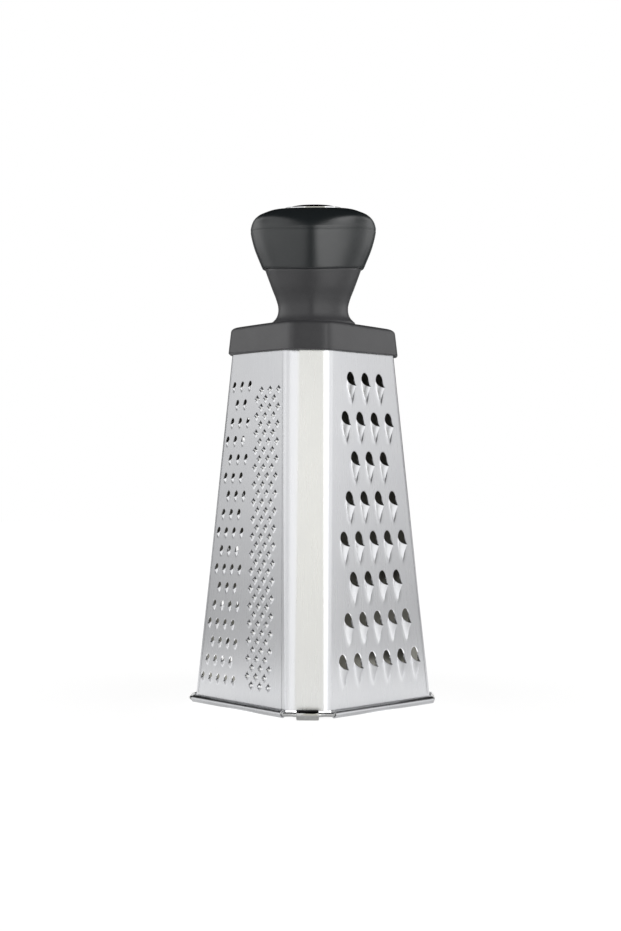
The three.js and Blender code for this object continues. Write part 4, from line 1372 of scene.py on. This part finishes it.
@dataclass
class Cap:
    """The plated ring on the knob and the black dome inside it."""

    handle: Handle
    seat: float = 235.2
    clearance: float = 0.3
    ring_width: float = 1.4
    ring_top: float = 237.65
    ring_wall: float = 0.15  # upright part under the ring's rounded edge
    ring_edge: float = 0.25
    dome_rise: float = 2.25
    dome_sweep: float = 86.0  # degrees of the dome's arc, from the ring to its flat crown

    def section(self, inset: Array) -> Array:
        """Returns the cap's sections, set in from the grip's opening, as polar radii."""
        rows = np.repeat(self.handle.grip[-1:, 1:], len(inset), axis=0)
        rows[:, :2] -= inset[:, None]
        return lens(rows)

    def build(self) -> bpy.types.Object:
        """Builds the ring, a rounded profile carried round the cap, and the dome, an arc of sections.

        Returns:
            The ring.
        """
        quarter = np.radians(np.linspace(0.0, 90.0, 6))
        half = self.ring_width / 2
        outer_in = self.clearance + half * (1 - np.cos(quarter))
        outer_z = self.ring_top - self.ring_edge * (1 - np.sin(quarter))
        inner_in = self.clearance + half * (1 + np.sin(quarter))
        inner_z = self.ring_top - self.ring_edge * (1 - np.cos(quarter))
        inner_wall = self.clearance + self.ring_width
        inset = np.concatenate([[self.clearance] * 2, outer_in, inner_in[1:], [inner_wall]])
        z = np.concatenate([[self.seat, outer_z[0] - self.ring_wall], outer_z, inner_z[1:], [self.seat]])
        patch = Patchwork()
        patch.add_grid(rings(self.section(inset), z), wrap_rows=True, wrap_columns=True)
        ring = patch.welded().outward().piece("cap_ring", "plated_ring", ["cap_bezel"], PLATING)

        inside = self.clearance * 2 + self.ring_width
        share = np.cos(np.radians(np.linspace(0.0, self.dome_sweep, 16)))
        wall = self.section(np.array([inside]))
        radii = np.concatenate([wall, wall * share[:, None]])
        foot = self.ring_top - 2 * self.ring_edge
        heights = np.concatenate([[self.seat], foot + self.dome_rise * np.sqrt(1 - share ** 2)])
        dome = rings(radii, heights)
        patch = Patchwork()
        patch.add_grid(dome, wrap_columns=True)
        patch.add_fan(dome[0], flip=True)
        patch.add_fan(dome[-1])
        patch.welded().outward().piece("cap_dome", "gloss_black", ["cap_insert"], GLOSS_BLACK)
        return ring


@dataclass
class Clamp:
    """The plate, washer and screw that hold the sheet's top tabs under the collar."""

    body: FoldedBody
    gap: float = 0.3
    plate: float = 2.4
    plate_clearance: float = 1.2
    bore: float = 2.3
    washer_radius: float = 5.5
    washer: float = 1.0
    head_radius: float = 4.0
    head: float = 2.6
    shank: float = 2.0
    bite: float = 17.0
    recess: tuple[float, float, float] = (2.4, 0.55, 1.3)  # reach, half width and depth of the cross
    rim: float = 0.25  # rounding of the plate's and the washer's rims
    head_dome: float = 0.6  # share of the head's height that is domed
    thread_pitch: float = 1.4
    thread_depth: float = 0.3
    plain: tuple[float, float] = (5.0, 3.0)  # shank without thread, at the head and at the point
    point: float = 0.5

    def slab(self, name: str, slot: str, node: str, radii: Array, low: float, high: float,
             finish: Finish) -> bpy.types.Object:
        """Builds a flat plate with a bore and slightly rounded rims.

        Args:
            name: the piece's name.
            slot: the record's slot.
            node: the CAD node.
            radii: its outline, as polar radii (1, angles).
            low: height of its underside.
            high: height of its top.
            finish: its finish.

        Returns:
            The object.
        """
        edge = self.rim
        bore = disc(self.bore)
        radii = np.concatenate([radii - edge, radii, radii, radii - edge, bore, bore])
        patch = Patchwork()
        patch.add_grid(rings(radii, [low, low + edge, high - edge, high, high, low]), True, True)
        return patch.welded().outward().piece(name, slot, [node], finish)

    def build_screw(self, top: float) -> bpy.types.Object:
        """Builds the screw: a domed head with a cross recess, and a ribbed shank.

        The head's underside is a dome of 1 - (r / radius) squared, sunk where a point lies
        within the cross. The thread is a row of ridges along the shank.

        Args:
            top: height of the head's seat.

        Returns:
            The object.
        """
        reach, half, depth = self.recess
        radius = np.concatenate([np.linspace(0.25, 3.0, 23), np.linspace(3.2, self.head_radius, 6)])[:, None]
        x, y = radius * np.cos(POLAR), radius * np.sin(POLAR)
        across = np.minimum(np.abs(x), np.abs(y))
        sunk = (across < half) & (radius < reach)
        dome = self.head_dome * self.head * (1 - (radius / self.head_radius) ** 2)
        z = top - (1 - self.head_dome) * self.head - dome + np.where(sunk, depth, 0.0)
        head = np.stack([x, y, z], axis=-1)
        end = self.body.top - self.body.sheet + self.bite
        turns = np.arange(top + self.plain[0], end - self.plain[1], self.thread_pitch / 2)
        ridges = self.shank - self.thread_depth * (np.arange(len(turns)) % 2)
        shank = rings(
            disc(np.concatenate([[self.head_radius, self.shank], ridges, [self.point]])),
            np.concatenate([[top, top], turns, [end]]))
        rows = np.concatenate([head, shank])
        patch = Patchwork()
        patch.add_grid(rows, wrap_columns=True)
        patch.add_fan(rows[0], flip=True)
        patch.add_fan(rows[-1])
        shell = patch.welded().outward()
        return shell.piece("clamp_screw", "fastener_steel", ["handle_screw"], FASTENER_STEEL)

    def build(self) -> None:
        """Builds the plate, the washer and the screw."""
        high = self.body.top - self.body.sheet - self.gap
        half = self.body.half(high) - self.body.sheet - self.plate_clearance
        low = high - self.plate
        outline = flats(half, self.body.leg, self.body.folded_under.leg)
        self.slab("clamp_plate", "inner_plastic", "retainer_plate", outline, low, high, INNER_PLASTIC)
        seat = low - self.gap
        self.slab("clamp_washer", "fastener_steel", "screw_washer", disc(self.washer_radius),
                  seat - self.washer, seat, FASTENER_STEEL)
        self.build_screw(seat - self.washer - self.gap)


class Lit(Enum):
    """Which pieces a lamp is set to light: all, the bright metal or the dark plastic."""

    ALL = "all"
    METAL = "metal"
    PLASTIC = "plastic"


@dataclass(frozen=True)
class Softbox:
    """A soft lamp that faces the grater: its place, size, radiance and colour, and the pieces it lights."""

    name: str
    swing: float  # degrees to the right of the camera's direction, seen from the grater
    rise: float  # degrees above the grater's middle
    distance: float  # metres
    width: float
    height: float
    radiance: float
    colour: str = "#FFFFFF"
    lit: Lit = Lit.ALL


@dataclass(frozen=True)
class Fade:
    """A level that changes evenly between two places, and is plain before and after them."""

    start: float
    end: float
    before: float
    after: float

    def inputs(self, value: bpy.types.NodeSocket) -> dict:
        """Returns the inputs that turn a value into the level."""
        return {"Value": value, "From Min": self.start, "From Max": self.end,
                "To Min": self.before, "To Max": self.after}


@dataclass
class Studio:
    """Camera, lamps, white floor and surroundings."""

    pieces: dict[Lit, list[bpy.types.Object]]
    azimuth: float = -42.64  # degrees, direction of the camera round the axis, from -Y
    distance: float = 663.3
    height: float = 101.0
    focal: float = 1372.5  # pixels
    axis: tuple[float, float] = (313.15, 491.24)  # pixel that the camera looks along
    frame: tuple[int, int] = (621, 931)
    sensor: float = 36.0
    middle: float = 115.0  # height that the lamps face
    floor_radius: float = 4.0  # metres
    boxes: tuple[Softbox, ...] = (
        Softbox("left_outer_box", -66.5, 13.0, 0.95, 0.56, 0.93, 0.78),
        Softbox("left_inner_box", -30.5, 13.0, 0.95, 0.67, 0.93, 1.05, lit=Lit.METAL),
        Softbox("right_inner_box", 27.2, 13.0, 0.95, 0.61, 0.93, 1.7, lit=Lit.METAL),
        Softbox("right_outer_box", 63.0, 13.0, 0.95, 0.62, 0.93, 0.9),
        Softbox("front_card", -0.8, 10.4, 0.9, 0.32, 0.52, 0.8, "#FFFDF0", Lit.METAL),
        Softbox("left_rim_box", -97.0, 13.0, 0.95, 1.0, 0.93, 1.1, lit=Lit.PLASTIC),
        Softbox("right_rim_box", 95.0, 13.0, 0.95, 1.0, 0.93, 1.1, lit=Lit.PLASTIC),
        Softbox("left_grip_box", -37.0, 13.0, 0.95, 0.44, 0.93, 1.1, lit=Lit.PLASTIC),
        Softbox("right_grip_box", 22.0, 13.0, 0.95, 0.32, 0.93, 3.2, lit=Lit.PLASTIC),
    )
    # share of the way from behind the grater to the camera, and the wall's level there
    walls: tuple[tuple[float, float], ...] = (
        (0.02, 1.0), (0.06, 0.15), (0.28, 0.15), (0.43, 1.0), (0.46, 1.0),
        (0.54, 0.62), (0.57, 0.62), (0.63, 0.0), (0.95, 0.0), (0.975, 0.1),
    )
    # levels by the upward part of the direction: the dark ceiling, and the dim foot of the walls
    ceiling: Fade = Fade(0.26, 0.42, 1.0, 0.02)
    skirting: Fade = Fade(0.0, 0.2, 0.62, 1.0)
    # the floor's levels by metres from the middle: as seen; as a painted reflection in mirrored light, near
    # and far; and as a painted glow inside
    floor_seen: Fade = Fade(0.09, 0.25, 0.93, 1.0)
    floor_painted_reflection_near: Fade = Fade(0.05, 0.12, 0.4, 1.0)
    floor_painted_reflection_far: Fade = Fade(0.25, 0.55, 1.0, 0.0)
    floor_painted_glow_inside: Fade = Fade(0.036, 0.048, 1.7, 0.0)
    floor_colour: str = "#A0A09E"
    floor_roughness: float = 0.9

    def direction(self, swing: float, rise: float) -> Vector:
        """Returns the unit vector from the grater, by degrees from the camera's direction and above it."""
        turn, lift = math.radians(self.azimuth + swing), math.radians(rise)
        return Vector((math.sin(turn) * math.cos(lift), -math.cos(turn) * math.cos(lift), math.sin(lift)))

    def build_camera(self) -> None:
        """Builds the camera: level, at the photograph's place, and shifted to the photograph's frame."""
        data = bpy.data.cameras.new("camera")
        long_side = max(self.frame)
        data.sensor_width = self.sensor
        data.lens = self.focal * self.sensor / long_side
        data.shift_x = (self.frame[0] / 2 - self.axis[0]) / long_side
        data.shift_y = (self.axis[1] - self.frame[1] / 2) / long_side
        camera = bpy.data.objects.new("camera", data)
        away = self.direction(0.0, 0.0)
        camera.location = away * self.distance * MM + Vector((0.0, 0.0, self.height * MM))
        camera.rotation_euler = (-away).to_track_quat("-Z", "Y").to_euler()
        bpy.context.scene.collection.objects.link(camera)
        bpy.context.scene.camera = camera

    def build_lamp(self, box: Softbox) -> None:
        """Builds a soft lamp, whose power follows from its radiance and area.

        Args:
            box: the lamp.
        """
        data = bpy.data.lights.new(box.name, "AREA")
        data.shape = "RECTANGLE"
        data.size, data.size_y = box.width, box.height
        data.energy = math.pi * box.width * box.height * box.radiance
        data.color = linear(box.colour)[:3]
        lamp = bpy.data.objects.new(box.name, data)
        towards = self.direction(box.swing, box.rise)
        lamp.location = towards * box.distance + Vector((0.0, 0.0, self.middle * MM))
        lamp.rotation_euler = towards.to_track_quat("Z", "Y").to_euler()
        bpy.context.scene.collection.objects.link(lamp)
        if box.lit is not Lit.ALL:
            receivers = bpy.data.collections.new(f"{box.name}_receivers")
            for piece in self.pieces[box.lit]:
                receivers.objects.link(piece)
            lamp.light_linking.receiver_collection = receivers

    def build_world(self) -> None:
        """Builds the surroundings: a white backdrop, dark flags beside it, pale walls and a dark ceiling.

        The backdrop is plain white to the camera and through glass, and behind the grater also
        in reflections. The walls' level follows the direction's part towards the camera's place,
        and is dimmer at their foot.
        """
        world = bpy.data.worlds.new("studio")
        world.use_nodes = True
        tree = world.node_tree
        place = add_node(tree, "ShaderNodeTexCoord")
        up = add_node(tree, "ShaderNodeSeparateXYZ", {"Vector": place.outputs["Generated"]})
        towards = add_node(tree, "ShaderNodeVectorMath", {
            0: place.outputs["Generated"], 1: self.direction(0.0, 0.0)}, operation="DOT_PRODUCT")
        share = add_node(tree, "ShaderNodeMapRange", {
            "Value": towards.outputs["Value"], "From Min": -1.0, "From Max": 1.0})
        walls = add_node(tree, "ShaderNodeValToRGB", {"Fac": share.outputs["Result"]})
        steps = walls.color_ramp.elements
        while len(steps) < len(self.walls):
            steps.new(0.5)
        for step, (place_share, level) in zip(steps, self.walls):
            step.position = place_share
            step.color = (level, level, level, 1.0)
        ceiling = add_node(tree, "ShaderNodeMapRange", self.ceiling.inputs(up.outputs["Z"]))
        skirting = add_node(tree, "ShaderNodeMapRange", self.skirting.inputs(up.outputs["Z"]))
        shade = add_node(tree, "ShaderNodeMath", {
            0: skirting.outputs["Result"], 1: ceiling.outputs["Result"]}, operation="MULTIPLY")
        lit = add_node(tree, "ShaderNodeMath", {
            0: walls.outputs["Color"], 1: shade.outputs["Value"]}, operation="MULTIPLY")
        path = add_node(tree, "ShaderNodeLightPath")
        seen = add_node(tree, "ShaderNodeMath", {
            0: path.outputs["Is Camera Ray"], 1: path.outputs["Is Transmission Ray"]}, operation="MAXIMUM")
        level = add_node(tree, "ShaderNodeMix", {
            0: seen.outputs["Value"], 2: lit.outputs["Value"], 3: 1.0})
        background = tree.nodes["Background"]
        tree.links.new(level.outputs[0], background.inputs["Strength"])
        background.inputs["Color"].default_value = linear("#FFFFFF")
        bpy.context.scene.world = world

    def build_floor(self) -> None:
        """Builds the white floor, a disc whose surface shows white to the camera and keeps a soft shadow.

        In mirrored light it shows a painted reflection: dim under the grater, as painted shade, bright on a
        patch round it and plain beyond.
        It glows softly inside the open base as painted light, though no lamp is there.
        """
        angle = np.linspace(0.0, 2 * math.pi, 64, endpoint=False)
        ring = self.floor_radius * np.column_stack([np.cos(angle), np.sin(angle), np.zeros_like(angle)])
        mesh = bpy.data.meshes.new("floor")
        mesh.from_pydata(ring.tolist(), [], [list(range(len(ring)))])
        made = bpy.data.materials.new("white_floor")
        made.use_nodes = True
        tree = made.node_tree
        shader = tree.nodes["Principled BSDF"]
        shader.inputs["Base Color"].default_value = linear(self.floor_colour)
        shader.inputs["Roughness"].default_value = self.floor_roughness
        shader.inputs["Emission Color"].default_value = linear("#FFFFFF")
        path = add_node(tree, "ShaderNodeLightPath")
        seen = add_node(tree, "ShaderNodeMath", {
            0: path.outputs["Is Camera Ray"], 1: path.outputs["Is Transmission Ray"]}, operation="MAXIMUM")
        place = add_node(tree, "ShaderNodeTexCoord")
        away = add_node(tree, "ShaderNodeVectorMath", {0: place.outputs["Object"]}, operation="LENGTH")
        radius = away.outputs["Value"]
        white = add_node(tree, "ShaderNodeMapRange", self.floor_seen.inputs(radius))
        glow = add_node(tree, "ShaderNodeMath", {
            0: seen.outputs["Value"], 1: white.outputs["Result"]}, operation="MULTIPLY")
        # painted reflection: only mirrored rays see the floor glow, dim under the grater and bright on a
        # patch round it
        near = add_node(tree, "ShaderNodeMapRange", self.floor_painted_reflection_near.inputs(radius))
        far = add_node(tree, "ShaderNodeMapRange", self.floor_painted_reflection_far.inputs(radius))
        patch = add_node(tree, "ShaderNodeMath", {
            0: near.outputs["Result"], 1: far.outputs["Result"]}, operation="MULTIPLY")
        painted_mirror_glow = add_node(tree, "ShaderNodeMath", {
            0: patch.outputs["Value"], 1: path.outputs["Is Glossy Ray"]}, operation="MULTIPLY")
        outside = add_node(tree, "ShaderNodeMath", {
            0: glow.outputs["Value"], 1: painted_mirror_glow.outputs["Value"]}, operation="MAXIMUM")
        # painted light: the floor glows inside the open base, where no lamp is
        inside = add_node(tree, "ShaderNodeMapRange", self.floor_painted_glow_inside.inputs(radius))
        total = add_node(tree, "ShaderNodeMath", {
            0: outside.outputs["Value"], 1: inside.outputs["Result"]}, operation="ADD")
        tree.links.new(total.outputs["Value"], shader.inputs["Emission Strength"])
        mesh.materials.append(made)
        floor = bpy.data.objects.new("floor", mesh)
        bpy.context.scene.collection.objects.link(floor)

    def build(self) -> None:
        """Builds the camera, the lamps, the surroundings and the floor."""
        bpy.context.scene.view_settings.view_transform = "Standard"
        self.build_camera()
        for box in self.boxes:
            self.build_lamp(box)
        self.build_world()
        self.build_floor()


def main() -> None:
    """Loads the frame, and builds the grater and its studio."""
    logging.basicConfig(level=logging.INFO, format="%(name)s: %(message)s")
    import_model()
    body = FoldedBody()
    metal = body.build() + BaseWire(body).build()
    handle = Handle(body)
    plastic = handle.build()
    metal.append(Cap(handle).build())
    Clamp(body).build()
    Studio({Lit.METAL: metal, Lit.PLASTIC: plastic}).build()


if __name__ == "__main__":
    main()
